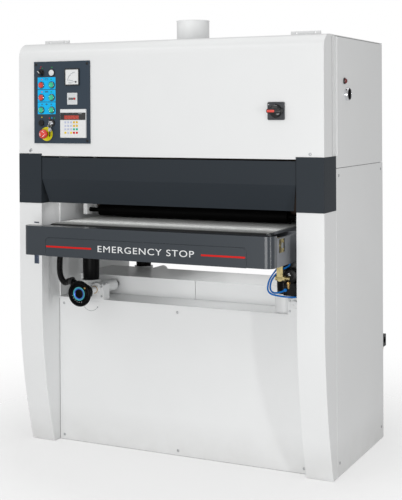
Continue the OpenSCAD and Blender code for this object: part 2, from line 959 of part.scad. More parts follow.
module main_motor() {
  x1 = motor_face_x + motor_len;
  foot_x = motor_len * (1 - motor_foot_share) / 2;
  plate_z = rail_h + motor_plate_t;
  color([0.3, 0.36, 0.4])
    difference() {
      union() {
        rod_x(motor_face_x, x1, motor_y, motor_z, motor_r);
        block([motor_face_x + foot_x, motor_y - motor_foot_d / 2, plate_z],
          [x1 - foot_x, motor_y + motor_foot_d / 2, motor_z - motor_r / 2]);
        block([motor_face_x + foot_x, -rail_d / 2, rail_h], [x1 - foot_x, rear_in - deck_rail_d, plate_z]);
        block([motor_face_x + foot_x, motor_y, motor_z - motor_box_w / 2],
          [motor_face_x + foot_x + motor_box_w, motor_y + motor_r + motor_box_h, motor_z + motor_box_w / 2]);
      }
      rod_x(motor_face_x - overrun, motor_face_x + motor_shaft_in + overrun, motor_y, motor_z,
        motor_shaft_r + run_clear);
    }
}

module drive_belts() {
  color([0.1, 0.1, 0.1])
    for (i = [0:2])
      loop_x(pulley_x - (i + 1) * drive_belt_pitch, pulley_x - (i + 1) * drive_belt_pitch + drive_belt_w,
        [motor_y, motor_z], motor_pulley_r + loop_clear, [0, drum_z], drum_pulley_r + loop_clear,
        drive_belt_t);
}

module jack_gearbox(x, y) {
  wx = x + worm_x;
  difference() {
    union() {
      rod_z(deck_z, deck_z + gearbox_h, x, y, jack_r);
      block([x, y - jack_r / 2, deck_z], [wx, y + jack_r / 2, deck_z + worm_box_h]);
      block([wx - worm_box_w / 2, y - worm_box_d / 2, deck_z],
        [wx + worm_box_w / 2, y - worm_box_d / 2 + worm_box_t, deck_z + worm_box_h]);
      rod_y(y - worm_box_d / 2, y + worm_box_d / 2, wx, worm_up, worm_barrel_r);
      rod_y(y - worm_box_d / 2 - worm_boss_d, y, wx, worm_up, worm_boss_r);
    }
    rod_z(deck_z - overrun, deck_z + gearbox_h + overrun, x, y, screw_r + run_clear);
    rod_y(y - worm_box_d / 2 - worm_boss_d - overrun, y + worm_box_d / 2 + overrun, wx, worm_up,
      worm_r + run_clear);
  }
}

module jack_gearboxes() {
  color([0.88, 0.88, 0.88])
    for (y = jack_ys)
      for (x = [-jack_x, jack_x])
        jack_gearbox(x, y);
}

module lift_encoder() {
  x = worm_xs[0];
  y1 = jack_ys[0] - worm_box_d / 2 - worm_boss_d;
  color([0.12, 0.12, 0.13])
    difference() {
      union() {
        rod_y(encoder_y, encoder_y + encoder_d, x, worm_up, encoder_r);
        rod_y(encoder_y, y1, x, worm_up, encoder_neck_r);
        rod_x(conduit_end[0] + slip_clear, x, conduit_y, conduit_end[2], gland_r);
      }
      rod_y(encoder_y - overrun, y1 + overrun, x, worm_up, ridge_hole_r);
    }
}

module lift_chain() {
  a = worm_xs[0];
  b = worm_xs[1];
  y0 = chain_y - chain_w / 2;
  y1 = chain_y + chain_w / 2;
  r = sprocket_r + loop_clear;
  color([0.3, 0.3, 0.32])
    difference() {
      hull() {
        rod_y(y0, y1, a, worm_up, r + chain_t);
        rod_y(y0, y1, b, worm_up, r + chain_t);
      }
      hull() {
        rod_y(y0 - overrun, y1 + overrun, a, worm_up, r);
        rod_y(y0 - overrun, y1 + overrun, b, worm_up, r);
      }
    }
}

module air_regulator() {
  x0 = hw - regulator_w;
  yc = back + regulator_d / 2;
  color([0.15, 0.15, 0.16]) {
    block([x0, back, regulator_z], [hw, back + regulator_d, regulator_z + regulator_h]);
    rod_z(regulator_z - regulator_bowl_h, regulator_z, x0 + regulator_bowl_r, yc, regulator_bowl_r);
    rod_z(elbow_z - elbow_r, regulator_z, hw - 2 * elbow_r, yc, elbow_r);
  }
}

// Screw head seated on a plane that faces the front
module front_screw(x, y, z) {
  rod_y(y - screw_head_t, y, x, z, screw_head_r);
}

module panel_screws() {
  side_ys = [side_y + screw_inset, back - screw_inset];
  color([0.7, 0.7, 0.7]) {
    for (z = [front_inset, deck_low - front_inset]) {
      front_screw(0, leg_y, z);
      both_sides()
        front_screw(col_in - seam - front_inset, leg_y, z);
    }
    both_sides() {
      front_screw(hw - column_w / 2, front, cap_z + 2 * screw_head_r);
      for (y = side_ys)
        for (z = [side_screw_z, seam_z - screw_inset])
          rod_x(hw, hw + screw_head_t, y, z, screw_head_r);
    }
    for (x = [-panel_x - panel_w / 2 + 2 * screw_head_r, -panel_x + panel_w / 2 - 2 * screw_head_r])
      for (z = [panel_z - panel_h / 2 + 2 * screw_head_r, panel_z + panel_h / 2 - 2 * screw_head_r])
        front_screw(x, face_y, z);
  }
}

module lift_conduit() {
  color([0.1, 0.1, 0.1])
    sweep(conduit_route, conduit_r, conduit_sides);
}

module table_frame() {
  tie_ys = [jack_ys[0] - tie_d / 2, 0, jack_ys[1] - tie_d / 2];
  color([0.55, 0.56, 0.58])
    difference() {
      union() {
        both_sides() {
          block([plate_in, plate_y, bar_z], [th, plate_rear, plate_top_z]);
          block([plate_in - flange_w, plate_y, bar_z], [plate_in, plate_rear - 2 * tie_d, bar_z + flange_t]);
        }
        for (y = tie_ys)
          block([-plate_in, y, tie_low_z], [plate_in, y + tie_d, bed_top_z - bed_t]);
        for (y = jack_ys)
          block([-plate_in, y - tie_d / 2, bar_z], [plate_in, y + tie_d / 2, bar_z + low_tie_h]);
        block([-fh, idler_y + bed_gap, bed_top_z - bed_t], [fh, drive_y - bed_gap, bed_top_z]);
        block([gear_x, jack_ys[1], bar_z],
          [gear_x + gear_w, feed_shaft_y + gear_d / 2, bar_z + hanger_plate_t]);
      }
      both_sides() {
        block([plate_in - overrun, idler_y + window_back - window_d, roller_z - window_h / 2],
          [th + overrun, idler_y + window_back, roller_z + window_h / 2]);
        rod_x(plate_in - overrun, th + overrun, drive_y, roller_z, roller_pin_r + run_clear);
      }
    }
}

module feed_belt() {
  color([0.62, 0.63, 0.62])
    loop_x(-fh, fh, [idler_y, roller_z], roller_r + loop_clear, [drive_y, roller_z], roller_r + loop_clear,
      feed_t);
}

// Outline of the stop bar seen from above, set in by one gap
module bar_outline(gap) {
  r = bar_r - gap;
  left = -th - bar_over;
  translate([left + bar_r, bar_y + gap])
    square([th - left - 2 * bar_r, bar_d - 2 * gap]);
  translate([left + gap, bar_y + bar_r])
    square([th - left - 2 * gap, bar_d - bar_r - gap]);
  for (x = [left + bar_r, th - bar_r])
    intersection() {
      translate([x, bar_y + bar_r])
        circle(r);
      translate([x - bar_r, bar_y])
        square([2 * bar_r, bar_r]);
    }
}

module front_bar() {
  color([0.28, 0.29, 0.32])
    difference() {
      translate([0, 0, bar_z])
        linear_extrude(bar_h)
          bar_outline(0);
      translate([0, 0, bar_z + bar_wall])
        linear_extrude(bar_h - 2 * bar_wall)
          bar_outline(bar_wall);
      block([-push_half - seam, bar_y - overrun, bar_z - overrun],
        [push_right + seam, bar_y + push_t + push_travel + overrun, bar_z + push_h + seam]);
      for (x = [-push_pin_x, push_pin_x])
        rod_y(plate_y - bar_wall - overrun, plate_y + overrun, x, bar_z + push_h / 2,
          push_pin_r + run_clear);
    }
}

module take_up_blocks() {
  y1 = idler_y + block_d / 2;
  y0 = idler_y - block_d / 2;
  color([0.72, 0.68, 0.5])
    both_sides()
      difference() {
        union() {
          block([plate_in, y0, roller_z - window_h / 2], [th, y1, roller_z + window_h / 2]);
          block([plate_in - block_lip, y0, roller_z - window_h / 2 - block_lip],
            [plate_in, y1, roller_z + window_h / 2 + block_lip]);
          rod_y(plate_y, y0, plate_in - take_up_r - slip_clear, roller_z, take_up_r);
          block([plate_in - 2 * take_up_r - slip_clear, y0, roller_z - 2 * take_up_r],
            [plate_in, y0 + block_lip, roller_z + 2 * take_up_r]);
        }
        rod_x(plate_in - block_lip - overrun, th + overrun, idler_y, roller_z, roller_pin_r + run_clear);
      }
}

module jack_screws() {
  color([0.66, 0.67, 0.68])
    for (y = jack_ys)
      both_sides()
        rod_z(deck_z - screw_low, bar_z, jack_x, y, screw_r);
}

module screw_boots() {
  color([0.08, 0.08, 0.08])
    for (y = jack_ys)
      both_sides()
        difference() {
          rod_z(boot_z, bar_z, jack_x, y, boot_r);
          rod_z(boot_z - overrun, bar_z + overrun, jack_x, y, boot_r - boot_wall);
        }
}

module feed_drive() {
  x1 = gear_x + gear_w;
  chain_x = -th - feed_chain_gap - feed_chain_w;
  gear_low = bar_z - gear_h;
  color([0.3, 0.31, 0.33]) {
    block([gear_x, feed_shaft_y - gear_d / 2, gear_low], [x1, feed_shaft_y + gear_d / 2, bar_z]);
    rod_x(x1, x1 + feed_motor_len, feed_shaft_y, bar_z - gear_h / 2, feed_motor_r);
    rod_x(chain_x, gear_x, feed_shaft_y, feed_shaft_z, feed_shaft_r);
    rod_x(chain_x, chain_x + feed_chain_w, feed_shaft_y, feed_shaft_z, feed_sprocket_r);
    loop_x(chain_x, chain_x + feed_chain_w, [feed_shaft_y, feed_shaft_z], feed_sprocket_r + loop_clear,
      [drive_y, roller_z], feed_sprocket_r + loop_clear, feed_chain_t);
  }
}

module air_valve() {
  color([0.12, 0.12, 0.13]) {
    rod_y(valve_y, valve_y + valve_len, valve_x, valve_z, valve_r);
    block([valve_x - valve_r, valve_y, valve_block_z],
      [valve_x + valve_r, valve_y + valve_len, valve_block_z + valve_block_h]);
    block([valve_x - valve_r / 2, valve_y + valve_len / 2, valve_block_z],
      [valve_x + valve_r / 2, valve_y + valve_len, bar_z]);
    rod_z(valve_block_z + muffler_up, valve_block_z + muffler_up + muffler_h, valve_x + muffler_x, valve_y,
      muffler_r);
    block([bracket_x, bracket_y, bar_z - bracket_h], [bracket_x + bracket_w, bracket_y + bracket_t, bar_z]);
    rod_x(bracket_x + bracket_w, valve_x, bracket_y + bracket_t, bracket_bolt_z, bracket_bolt_r);
    rod_x(bracket_x, bracket_x + bracket_w, bracket_y + bracket_t, bracket_bolt_z, bracket_bolt_r);
  }
}

module air_tube_upper() {
  color([0.05, 0.4, 0.7])
    sweep(upper_route, tube_r, tube_sides);
}

module air_tube_lower() {
  color([0.05, 0.4, 0.7])
    sweep(lower_route, tube_r, tube_sides);
}

module feed_drive_roller() {
  chain_x = -th - feed_chain_gap - feed_chain_w;
  color([0.2, 0.2, 0.21]) {
    rod_x(-fh - roller_gap, fh + roller_gap, drive_y, roller_z, roller_r);
    rod_x(chain_x, th, drive_y, roller_z, roller_pin_r);
    rod_x(chain_x, chain_x + feed_chain_w, drive_y, roller_z, feed_sprocket_r);
  }
}

module feed_idler_roller() {
  color([0.2, 0.2, 0.21]) {
    rod_x(-fh - roller_gap, fh + roller_gap, idler_y, roller_z, roller_r);
    rod_x(-th, th, idler_y, roller_z, roller_pin_r);
  }
}

module estop_push_plate() {
  color([0.28, 0.29, 0.32]) {
    block([-push_half, bar_y, bar_z], [push_right, bar_y + push_t, bar_z + push_h]);
    for (x = [-push_pin_x, push_pin_x])
      rod_y(bar_y + push_t, plate_y + push_pin_out, x, bar_z + push_h / 2, push_pin_r);
  }
}

module contact_drum() {
  right_end = drum_len / 2 + hanger_gap + hanger_t + bearing_t;
  color([0.15, 0.15, 0.16]) {
    rod_x(-drum_len / 2, drum_len / 2, 0, drum_z, drum_r);
    rod_x(pulley_x - pulley_w, right_end, 0, drum_z, drum_shaft_r);
    rod_x(pulley_x - pulley_w, pulley_x, 0, drum_z, drum_pulley_r);
  }
}

module tension_yoke() {
  arm_x = drum_len / 2 + hanger_gap;
  color([0.35, 0.37, 0.4])
    difference() {
      union() {
        block([-arm_x - hanger_t, -yoke_d / 2, yoke_z], [arm_x + hanger_t, yoke_d / 2, yoke_z + yoke_h]);
        both_sides()
          block([arm_x, -yoke_arm_d / 2, yoke_z], [arm_x + hanger_t, yoke_arm_d / 2, top_z + yoke_arm_up]);
        for (x = [-yoke_rod_x, yoke_rod_x])
          rod_z(beam_z + beam_h - yoke_rod_in, yoke_z, x, 0, yoke_rod_r);
      }
      both_sides()
        rod_x(arm_x - overrun, arm_x + hanger_t + overrun, 0, top_z, tension_pin_r + run_clear);
    }
}

module tension_roller() {
  pin_x = drum_len / 2 + hanger_gap + hanger_t;
  color([0.5, 0.51, 0.53]) {
    rod_x(-drum_len / 2, drum_len / 2, 0, top_z, tension_r);
    rod_x(-pin_x, pin_x, 0, top_z, tension_pin_r);
  }
}

module abrasive_belt() {
  color([0.4, 0.25, 0.15])
    loop_x(-abrasive_w / 2, abrasive_w / 2, [0, drum_z], drum_r + loop_clear, [0, top_z],
      tension_r + loop_clear, abrasive_t);
}

module motor_pulley() {
  color([0.4, 0.41, 0.43]) {
    rod_x(pulley_x - pulley_w, pulley_x, motor_y, motor_z, motor_pulley_r);
    rod_x(pulley_x - pulley_w, motor_face_x + motor_shaft_in, motor_y, motor_z, motor_shaft_r);
  }
}

module pressure_roller(y) {
  pin_x = press_lug_x + lug_w;
  rod_x(-drum_len / 2 + press_short, drum_len / 2 - press_short, y, press_z, press_r);
  rod_x(-pin_x, pin_x, y, press_z, journal_r);
}

module infeed_pressure_roller() {
  color([0.08, 0.08, 0.08])
    pressure_roller(-press_y);
}

module outfeed_pressure_roller() {
  color([0.08, 0.08, 0.08])
    pressure_roller(press_y);
}

module right_upper_door() {
  x = hw - pin_inset;
  y = rear_in - pin_inset;
  z0 = seam_z;
  z1 = roof_z - seam;
  color([0.9, 0.9, 0.9])
    difference() {
      union() {
        difference() {
          block([skin_in - door_flange, side_y, z0], [hw, rear_in, z1]);
          block([skin_in - door_flange - overrun, side_y + sheet, z0 + sheet],
            [skin_in, rear_in + overrun, z1 - sheet]);
        }
        rod_z(z1 - sheet, body_h, x, y, pin_r);
        rod_z(z0 - seam - sheet, z0 + sheet, x, y, pin_r);
        difference() {
          rod_x(hw, hw + selector_ring_t, selector_y, selector_z, selector_ring_r);
          rod_x(hw - overrun, hw + selector_ring_t + overrun, selector_y, selector_z,
            selector_stem_r + run_clear);
        }
      }
      rod_x(skin_in - overrun, hw + overrun, selector_y, selector_z, selector_stem_r + run_clear);
    }
}

module tension_selector() {
  x1 = hw + selector_ring_t;
  color([0.1, 0.1, 0.1]) {
    rod_x(skin_in - sheet, x1, selector_y, selector_z, selector_stem_r);
    block([x1, selector_y - lever_w / 2, selector_z - lever_len / 2],
      [x1 + lever_t, selector_y + lever_w / 2, selector_z + lever_len / 2]);
  }
}

module infeed_hood() {
  y0 = front + hood_proud;
  x1 = col_in - seam;
  color([0.23, 0.25, 0.28]) {
    difference() {
      along_x(-x1, x1)
        polygon([[y0, hood_top_z], [y0, hood_fold_z], [y0 + hood_back, hood_bottom_z],
          [y0 + hood_back + sheet, hood_bottom_z], [y0 + sheet, hood_fold_z], [y0 + sheet, hood_top_z]]);
      both_sides()
        translate([0, y0 + hood_back + sheet + overrun, 0])
          rotate([90, 0, 0])
            linear_extrude(hood_back + sheet + 2 * overrun)
              polygon([[x1, hood_fold_z], [x1 + overrun, hood_fold_z],
                [x1 + overrun, hood_bottom_z - overrun],
                [x1 - hood_end, hood_bottom_z - overrun], [x1 - hood_end, hood_bottom_z]]);
    }
    both_sides() {
      block([x1 - hood_ear_t, y0 + sheet / 2, hood_pin_z + hood_pin_drop - hood_ear_h],
        [x1, y0 + sheet + hood_ear_d, hood_pin_z + hood_pin_drop]);
      rod_x(x1 - hood_ear_t, post_in, hood_pin_y, hood_pin_z, pin_r);
    }
  }
}

module isolator_handle() {
  y1 = front - isolator_t - isolator_gap;
  color([0.1, 0.1, 0.1]) {
    rod_y(y1, front, isolator_x, isolator_z, isolator_stem_r);
    block([isolator_x - isolator_len / 2, y1 - isolator_bar_t, isolator_z - isolator_bar_w / 2],
      [isolator_x + isolator_len / 2, y1, isolator_z + isolator_bar_w / 2]);
  }
}

module mode_selector() {
  color([0.1, 0.1, 0.1]) {
    front_disc(col_a, switch_z, knob_stem_r, -panel_t, bezel_t);
    front_disc(col_a, switch_z, knob_r, bezel_t, bezel_t + knob_stem_r);
    translate([col_a, 0, switch_z])
      rotate([0, -knob_lean, 0])
        block([-knob_bar_w / 2, face_y - knob_out, -knob_r], [knob_bar_w / 2, face_y - bezel_t, knob_r]);
  }
}

module key_switch() {
  color([0.75, 0.75, 0.76]) {
    front_disc(col_b, key_z, key_r, -panel_t, key_out);
    block([col_b - key_blade_t / 2, face_y - key_blade_out, key_z - key_blade_w / 2],
      [col_b + key_blade_t / 2, face_y - key_out, key_z + key_blade_w / 2]);
  }
}

module estop_button() {
  color([0.85, 0.2, 0.15]) {
    front_disc(estop_x, estop_z, estop_stem_r, -button_in, estop_stem_out);
    front_disc(estop_x, estop_z, mushroom_r, estop_stem_out, estop_stem_out + mushroom_t);
  }
}

module push_button(x, z) {
  front_disc(x, z, button_r, -button_in, button_out);
}

module sanding_stop_button() {
  color([0.85, 0.15, 0.12])
    push_button(col_a, row_z[0]);
}

module sanding_start_button() {
  color([0.15, 0.7, 0.5])
    push_button(col_b, row_z[0]);
}

module feed_stop_button() {
  color([0.85, 0.15, 0.12])
    push_button(col_a, row_z[1]);
}

module feed_start_button() {
  color([0.15, 0.7, 0.5])
    push_button(col_b, row_z[1]);
}

module table_up_button() {
  color([0.15, 0.7, 0.5])
    push_button(col_a, row_z[2]);
}

module table_down_button() {
  color([0.15, 0.7, 0.5])
    push_button(col_b, row_z[2]);
}

// Worm shaft with its chain sprocket
module lift_shaft(x, y0) {
  rod_y(y0, jack_ys[1] + worm_box_d / 2, x, worm_up, worm_r);
  rod_y(chain_y - chain_w / 2, chain_y + chain_w / 2, x, worm_up, sprocket_r);
}

module handwheel() {
  x = worm_xs[0];
  y0 = front - wheel_out;
  y1 = y0 + wheel_t;
  color([0.08, 0.08, 0.08]) {
    lift_shaft(x, y1);
    difference() {
      rod_y(y0, y1, x, worm_up, wheel_r);
      difference() {
        rod_y(y0 - overrun, y0 + wheel_dish, x, worm_up, wheel_r - wheel_rim);
        rod_y(y0 - 2 * overrun, y0 + wheel_dish, x, worm_up, wheel_hub_r);
      }
    }
  }
}

module right_lift_shaft() {
  color([0.66, 0.67, 0.68])
    lift_shaft(worm_xs[1], jack_ys[0] - worm_box_d / 2 - worm_boss_d);
}

base_frame();
deck_covers();
side_frames();
casing_panels();
front_cover();
roof_panel();
leg_covers();
beam_caps();
lower_front_panel();
dust_port();
lifting_brackets();
control_panel();
panel_meters();
thickness_controller();
switch_plates();
head_beam();
drum_bearings();
main_motor();
drive_belts();
jack_gearboxes();
lift_encoder();
lift_chain();
air_regulator();
panel_screws();
lift_conduit();
table_frame();
feed_belt();
front_bar();
take_up_blocks();
jack_screws();
screw_boots();
feed_drive();
air_valve();
air_tube_upper();
air_tube_lower();
feed_drive_roller();
feed_idler_roller();
estop_push_plate();
contact_drum();
tension_yoke();
tension_roller();
abrasive_belt();
motor_pulley();
infeed_pressure_roller();
outfeed_pressure_roller();
right_upper_door();
tension_selector();
infeed_hood();
isolator_handle();
mode_selector();
key_switch();
estop_button();
sanding_stop_button();
sanding_start_button();
feed_stop_button();
feed_start_button();
table_up_button();
table_down_button();
handwheel();
right_lift_shaft();
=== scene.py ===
"""Looks of a wide belt sander: a Blender add-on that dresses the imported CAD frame.

Every new piece, other than the stop bar's legend, is a closed surface made from whole arrays of
points, in the CAD frame and in millimetres until its mesh is written. Looks are procedural and sit
on Object coordinates.
"""

import bmesh
import bpy
import numpy as np
from bpy.props import FloatProperty, FloatVectorProperty, PointerProperty
from mathutils import Matrix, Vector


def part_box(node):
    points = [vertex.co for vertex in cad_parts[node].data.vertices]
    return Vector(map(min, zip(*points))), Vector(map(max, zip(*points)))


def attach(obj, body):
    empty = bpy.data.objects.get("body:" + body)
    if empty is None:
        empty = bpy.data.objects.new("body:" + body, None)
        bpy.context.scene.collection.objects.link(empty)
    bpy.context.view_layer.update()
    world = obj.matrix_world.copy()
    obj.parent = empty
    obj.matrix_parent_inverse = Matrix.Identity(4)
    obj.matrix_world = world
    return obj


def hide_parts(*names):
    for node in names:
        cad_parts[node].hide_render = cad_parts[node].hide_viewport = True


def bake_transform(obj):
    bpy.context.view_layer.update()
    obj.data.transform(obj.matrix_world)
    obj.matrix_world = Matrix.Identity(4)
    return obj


bl_info = {
    "name": "Wide Belt Sander",
    "version": (1, 0, 0),
    "blender": (4, 5, 0),
    "location": "View3D > Sidebar > Sander",
    "description": "Dresses the packed wide belt sander with detail pieces and looks",
    "category": "Object",
}

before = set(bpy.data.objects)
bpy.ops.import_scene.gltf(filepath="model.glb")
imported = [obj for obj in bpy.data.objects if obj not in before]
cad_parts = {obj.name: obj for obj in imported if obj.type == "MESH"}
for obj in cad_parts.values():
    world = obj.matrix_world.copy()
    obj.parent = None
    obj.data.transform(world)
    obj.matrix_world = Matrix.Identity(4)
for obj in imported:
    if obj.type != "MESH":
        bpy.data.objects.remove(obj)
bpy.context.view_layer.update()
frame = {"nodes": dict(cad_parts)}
LOOKS = {}

# Inner face of the right-hand column, in metres
COLUMN_IN = 0.585
# Height up to which dust gathers, in metres
SOIL_TOP = 0.16
# Nearly black painted shade on the side frames where they reach into the right-hand column, and on the feed
# belt's nose, where it turns round its front roller
ARM_SHADE_BLACK, NOSE_SHADE_BLACK = (0.006, 0.006, 0.007, 1), (0.012, 0.012, 0.013, 1)
# Full turn, as used for the rings of the conduit
TURN = 6.283

# Axes of a seat: across, up and out of the surface that a piece stands on
FRONT = np.array([[1.0, 0, 0], [0, 0, 1], [0, -1, 0]])
RIGHT = np.array([[0, 1.0, 0], [0, 0, 1], [1, 0, 0]])
LEFT = np.array([[0, -1.0, 0], [0, 0, 1], [-1, 0, 0]])
UP = np.eye(3)


def tint(code):
    """Linear colour of a 24-bit screen colour: each channel undone from the sRGB curve."""
    c = np.array([code >> 16 & 255, code >> 8 & 255, code & 255]) / 255
    return tuple(np.where(c < 0.04045, c / 12.92, ((c + 0.055) / 1.055) ** 2.4).tolist())


def length(name, description, millimetres):
    """A length property of the add-on, in metres inside Blender."""
    default = millimetres / 1000
    return FloatProperty(
        name=name, description=description, default=default, unit="LENGTH", subtype="DISTANCE", precision=4
    )


def colour(name, description, code):
    """A colour property of the add-on, from a 24-bit screen colour."""
    return FloatVectorProperty(
        name=name, description=description, default=tint(code), size=3, subtype="COLOR", min=0, max=1
    )


class SanderSizes(bpy.types.PropertyGroup):
    """Sizes of the detail pieces."""

    legend_left: length("Legend left", "From a button's axis to the outer edge of its legend", 19)
    legend_right: length("Legend inner", "From a button's axis to the joint of the two legend halves", 26.5)
    legend_down: length("Legend down", "From a button's axis to the legend's lower edge", 18)
    legend_up: length("Legend up", "From a button's axis to the legend's upper edge", 33)
    print_t: length("Print thickness", "Thickness of printed plates and marks", 0.4)
    bezel_r: length("Bezel radius", "Outer radius of the switch bezels", 15)
    dial_r: length("Dial radius", "Outer radius of the blue dial in the handwheel", 30)
    dial_in_r: length("Dial glass radius", "Radius of the black glass inside the blue dial", 19)
    wheel_plate_r: length("Wheel plate radius", "Radius of the round plate under the handwheel", 46)
    stripe_h: length("Stripe height", "Height of the red stripes on the stop bar", 7)
    letter_h: length("Letter height", "Height of the stop bar's legend", 25)
    corner_r: length("Push plate corner", "Radius of the push plate's upper corners", 18)
    inlay: length("Inlay depth", "How far the push plate's face lies behind its stripes", 0.6)
    lamp_r: length("Door lamp radius", "Radius of the lamp on the door", 13)
    lamp_y: length("Door lamp place", "Front plane to the lamp on the door", 240)
    lamp_rise: length("Door lamp rise", "Lamp above the belt tension selector", 52)
    scale_w: length("Scale width", "Width of the height scale on the left leg", 24)
    scale_h: length("Scale height", "Length of the height scale on the left leg", 140)
    scale_z: length("Scale place", "Height of the lower end of the height scale", 790)
    conduit_r: length("Conduit radius", "Radius of the cable conduit", 12.5)
    bead: length("Port bead", "Thickness of the rolled bead on the dust port", 4)
    key_pitch: length("Key pitch", "Distance between keys of the thickness controller", 14.3)


class SanderColours(bpy.types.PropertyGroup):
    """Colours of the looks."""

    white: colour("White paint", "Casing panels", 0xEDEEEE)
    dark: colour("Dark grey paint", "Hood, beam caps and stop bar", 0x353B41)
    vinyl: colour("Panel vinyl", "Face of the control panel", 0x36424E)
    frame: colour("Frame grey", "Inner frames", 0x8E9194)
    table: colour("Table grey", "Conveyor table's side plates", 0x7C7F84)
    belt: colour("Feed belt", "Rough-top feed belt", 0xC2C4C2)
    black: colour("Black plastic", "Switches, handwheel and valve", 0x111214)
    cyan: colour("Legend cyan", "Legend plates behind the buttons", 0x0CBCFA)
    red: colour("Red plastic", "Stop buttons and mushroom", 0xE0402F)
    green: colour("Green plastic", "Start buttons", 0x2CC898)
    yellow: colour("Yellow plastic", "Disc behind the mushroom", 0xE2DA08)
    tube: colour("Tube blue", "Air tubes", 0x006CBC)
    zinc: colour("Yellow zinc", "Bracket, bolts and take-up blocks", 0xB9AB7C)
    brass: colour("Brass", "Air fittings", 0xD2AE70)
    ivory: colour("Case grey", "Meter and controller cases", 0xDCDFE1)
    display: colour("Display red", "Window of the thickness controller", 0xA82A18)


class Mm:
    """Reads the length properties in millimetres."""

    def __init__(self, group):
        self.group = group

    def __getattr__(self, name):
        return getattr(self.group, name) * 1000


def sizes():
    return Mm(bpy.context.scene.sander_sizes)


def shade(name, level=1.0):
    """A colour property as red, green, blue and alpha, made lighter or darker by one factor."""
    return (*[min(1.0, x * level) for x in getattr(bpy.context.scene.sander_colours, name)], 1.0)


# Looks


class Value:
    """A node socket that takes part in arithmetic; every step adds a Math node."""

    def __init__(self, look, socket):
        self.look, self.socket = look, socket

    def math(self, operation, *terms):
        return self.look.add("ShaderNodeMath", {"operation": operation}, dict(enumerate(terms)))

    def clip(self):
        return self.look.add("ShaderNodeClamp", {}, {0: self})


OPERATIONS = {"add": "ADD", "sub": "SUBTRACT", "mul": "MULTIPLY", "truediv": "DIVIDE", "pow": "POWER"}
for sign, operation in OPERATIONS.items():
    setattr(Value, f"__{sign}__", lambda a, b, kind=operation: a.math(kind, a, b))
    setattr(Value, f"__r{sign}__", lambda a, b, kind=operation: a.math(kind, b, a))


class Look:
    """The node tree of one material around its Principled BSDF."""

    def __init__(self, name, **plain):
        self.material = bpy.data.materials.new(name)
        self.material.use_nodes = True
        self.tree = self.material.node_tree
        self.surface = self.tree.nodes["Principled BSDF"]
        self.paint(**plain)
        self.place = self.add("ShaderNodeTexCoord", {}, {}, "Object")

    def add(self, kind, settings, inputs, output=0):
        """Adds a node of any kind with its settings, input values and links; gives one output."""
        node = self.tree.nodes.new(kind)
        for key, value in settings.items():
            setattr(node, key, value)
        self.feed(node, inputs)
        return Value(self, node.outputs[output])

    def feed(self, node, inputs):
        for key, value in inputs.items():
            if isinstance(value, Value):
                self.tree.links.new(value.socket, node.inputs[key])
            else:
                node.inputs[key].default_value = value

    def paint(self, **inputs):
        """Feeds inputs of the Principled BSDF."""
        self.feed(self.surface, {key.replace("_", " "): value for key, value in inputs.items()})

    def axes(self):
        node = self.add("ShaderNodeSeparateXYZ", {}, {0: self.place}).socket.node
        return [Value(self, output) for output in node.outputs]

    def stretch(self, scale):
        return self.add("ShaderNodeVectorMath", {"operation": "MULTIPLY"}, {0: self.place, 1: scale})

    def noise(self, scale, detail=2.0, vector=None):
        return self.add(
            "ShaderNodeTexNoise", {}, {"Vector": vector or self.place, "Scale": scale, "Detail": detail}
        )

    def mix(self, factor, a, b):
        return self.add("ShaderNodeMix", {"data_type": "RGBA"}, {0: factor, 6: a, 7: b}, 2)

    def relief(self, height, depth, edge=0.0, strength=1.0):
        """Bump with a depth in metres; with edge set, edges are shaded as if rounded to that radius."""
        inputs = {"Height": height, "Distance": depth, "Strength": strength}
        if edge:
            inputs["Normal"] = self.add("ShaderNodeBevel", {"samples": 4}, {"Radius": edge})
        self.paint(Normal=self.add("ShaderNodeBump", {}, inputs))


def coated_metal(
    name, colour_name, rough, soil=0.0, grain=700.0, depth=0.00004, edge=0.0025,
    coat=0.0, gloss=0.5, level=1.0, arms=False,
):
    """Powder-coated sheet: a fine orange-peel bump, uneven gloss, and dust that gathers low down. When its
    last argument is set, it paints nearly black shade on whatever reaches into the right-hand column."""
    look = Look(name, Coat_Weight=coat, Coat_Roughness=0.18, Specular_IOR_Level=gloss)
    patch = look.noise(2.6, 4.0)
    fine = look.noise(grain, 1.0)
    base = look.mix(patch, shade(colour_name, 0.955 * level), shade(colour_name, 1.03 * level))
    # Painted shade: side frame parts that reach into the right-hand column are made nearly black
    if arms:
        across = look.axes()[0]
        arm_shade = (across * 2000.0).clip() * ((COLUMN_IN - across) * 2000.0).clip()
        base = look.mix(arm_shade, base, ARM_SHADE_BLACK)
    if soil:
        height = look.axes()[2]
        low = (1.0 - height / SOIL_TOP).clip() * look.noise(9.0, 5.0) * soil
        base = look.mix(low.clip(), base, (0.33, 0.31, 0.28, 1))
    look.paint(Base_Color=base, Roughness=(patch - 0.5) * 0.12 + rough)
    look.relief(fine, depth, edge)
    return look.material


def moulded(
    name, colour_name, rough, level=1.0, grain=1400.0, depth=0.00002, coat=0.0, edge=0.0006, gloss=0.5
):
    """Moulded plastic: an even tint, faint handling marks in the gloss and a very fine grain."""
    look = Look(name, Coat_Weight=coat, Coat_Roughness=0.12, Specular_IOR_Level=gloss)
    marks = look.noise(45.0, 5.0)
    look.paint(
        Base_Color=look.mix(marks, shade(colour_name, 0.94 * level), shade(colour_name, 1.05 * level)),
        Roughness=(marks - 0.5) * 0.2 + rough,
    )
    look.relief(look.noise(grain, 1.0), depth, edge)
    return look.material


def bare_metal(
    name, tone, rough, grain=(30.0, 900.0, 900.0), edge=0.0006, stain=0.35, dark=(0.2, 0.19, 0.17, 1)
):
    """Bare or plated metal: brushed streaks along X, with duller stains."""
    look = Look(name, Metallic=1.0)
    streaks = look.noise(1.0, 3.0, look.stretch(grain))
    spots = look.noise(60.0, 5.0)
    worn = ((spots - 0.5) * 3.0).clip() * stain
    look.paint(Base_Color=look.mix(worn, tone, dark), Roughness=streaks * 0.16 + worn * 0.3 + rough)
    look.relief(streaks, 0.00002, edge)
    return look.material


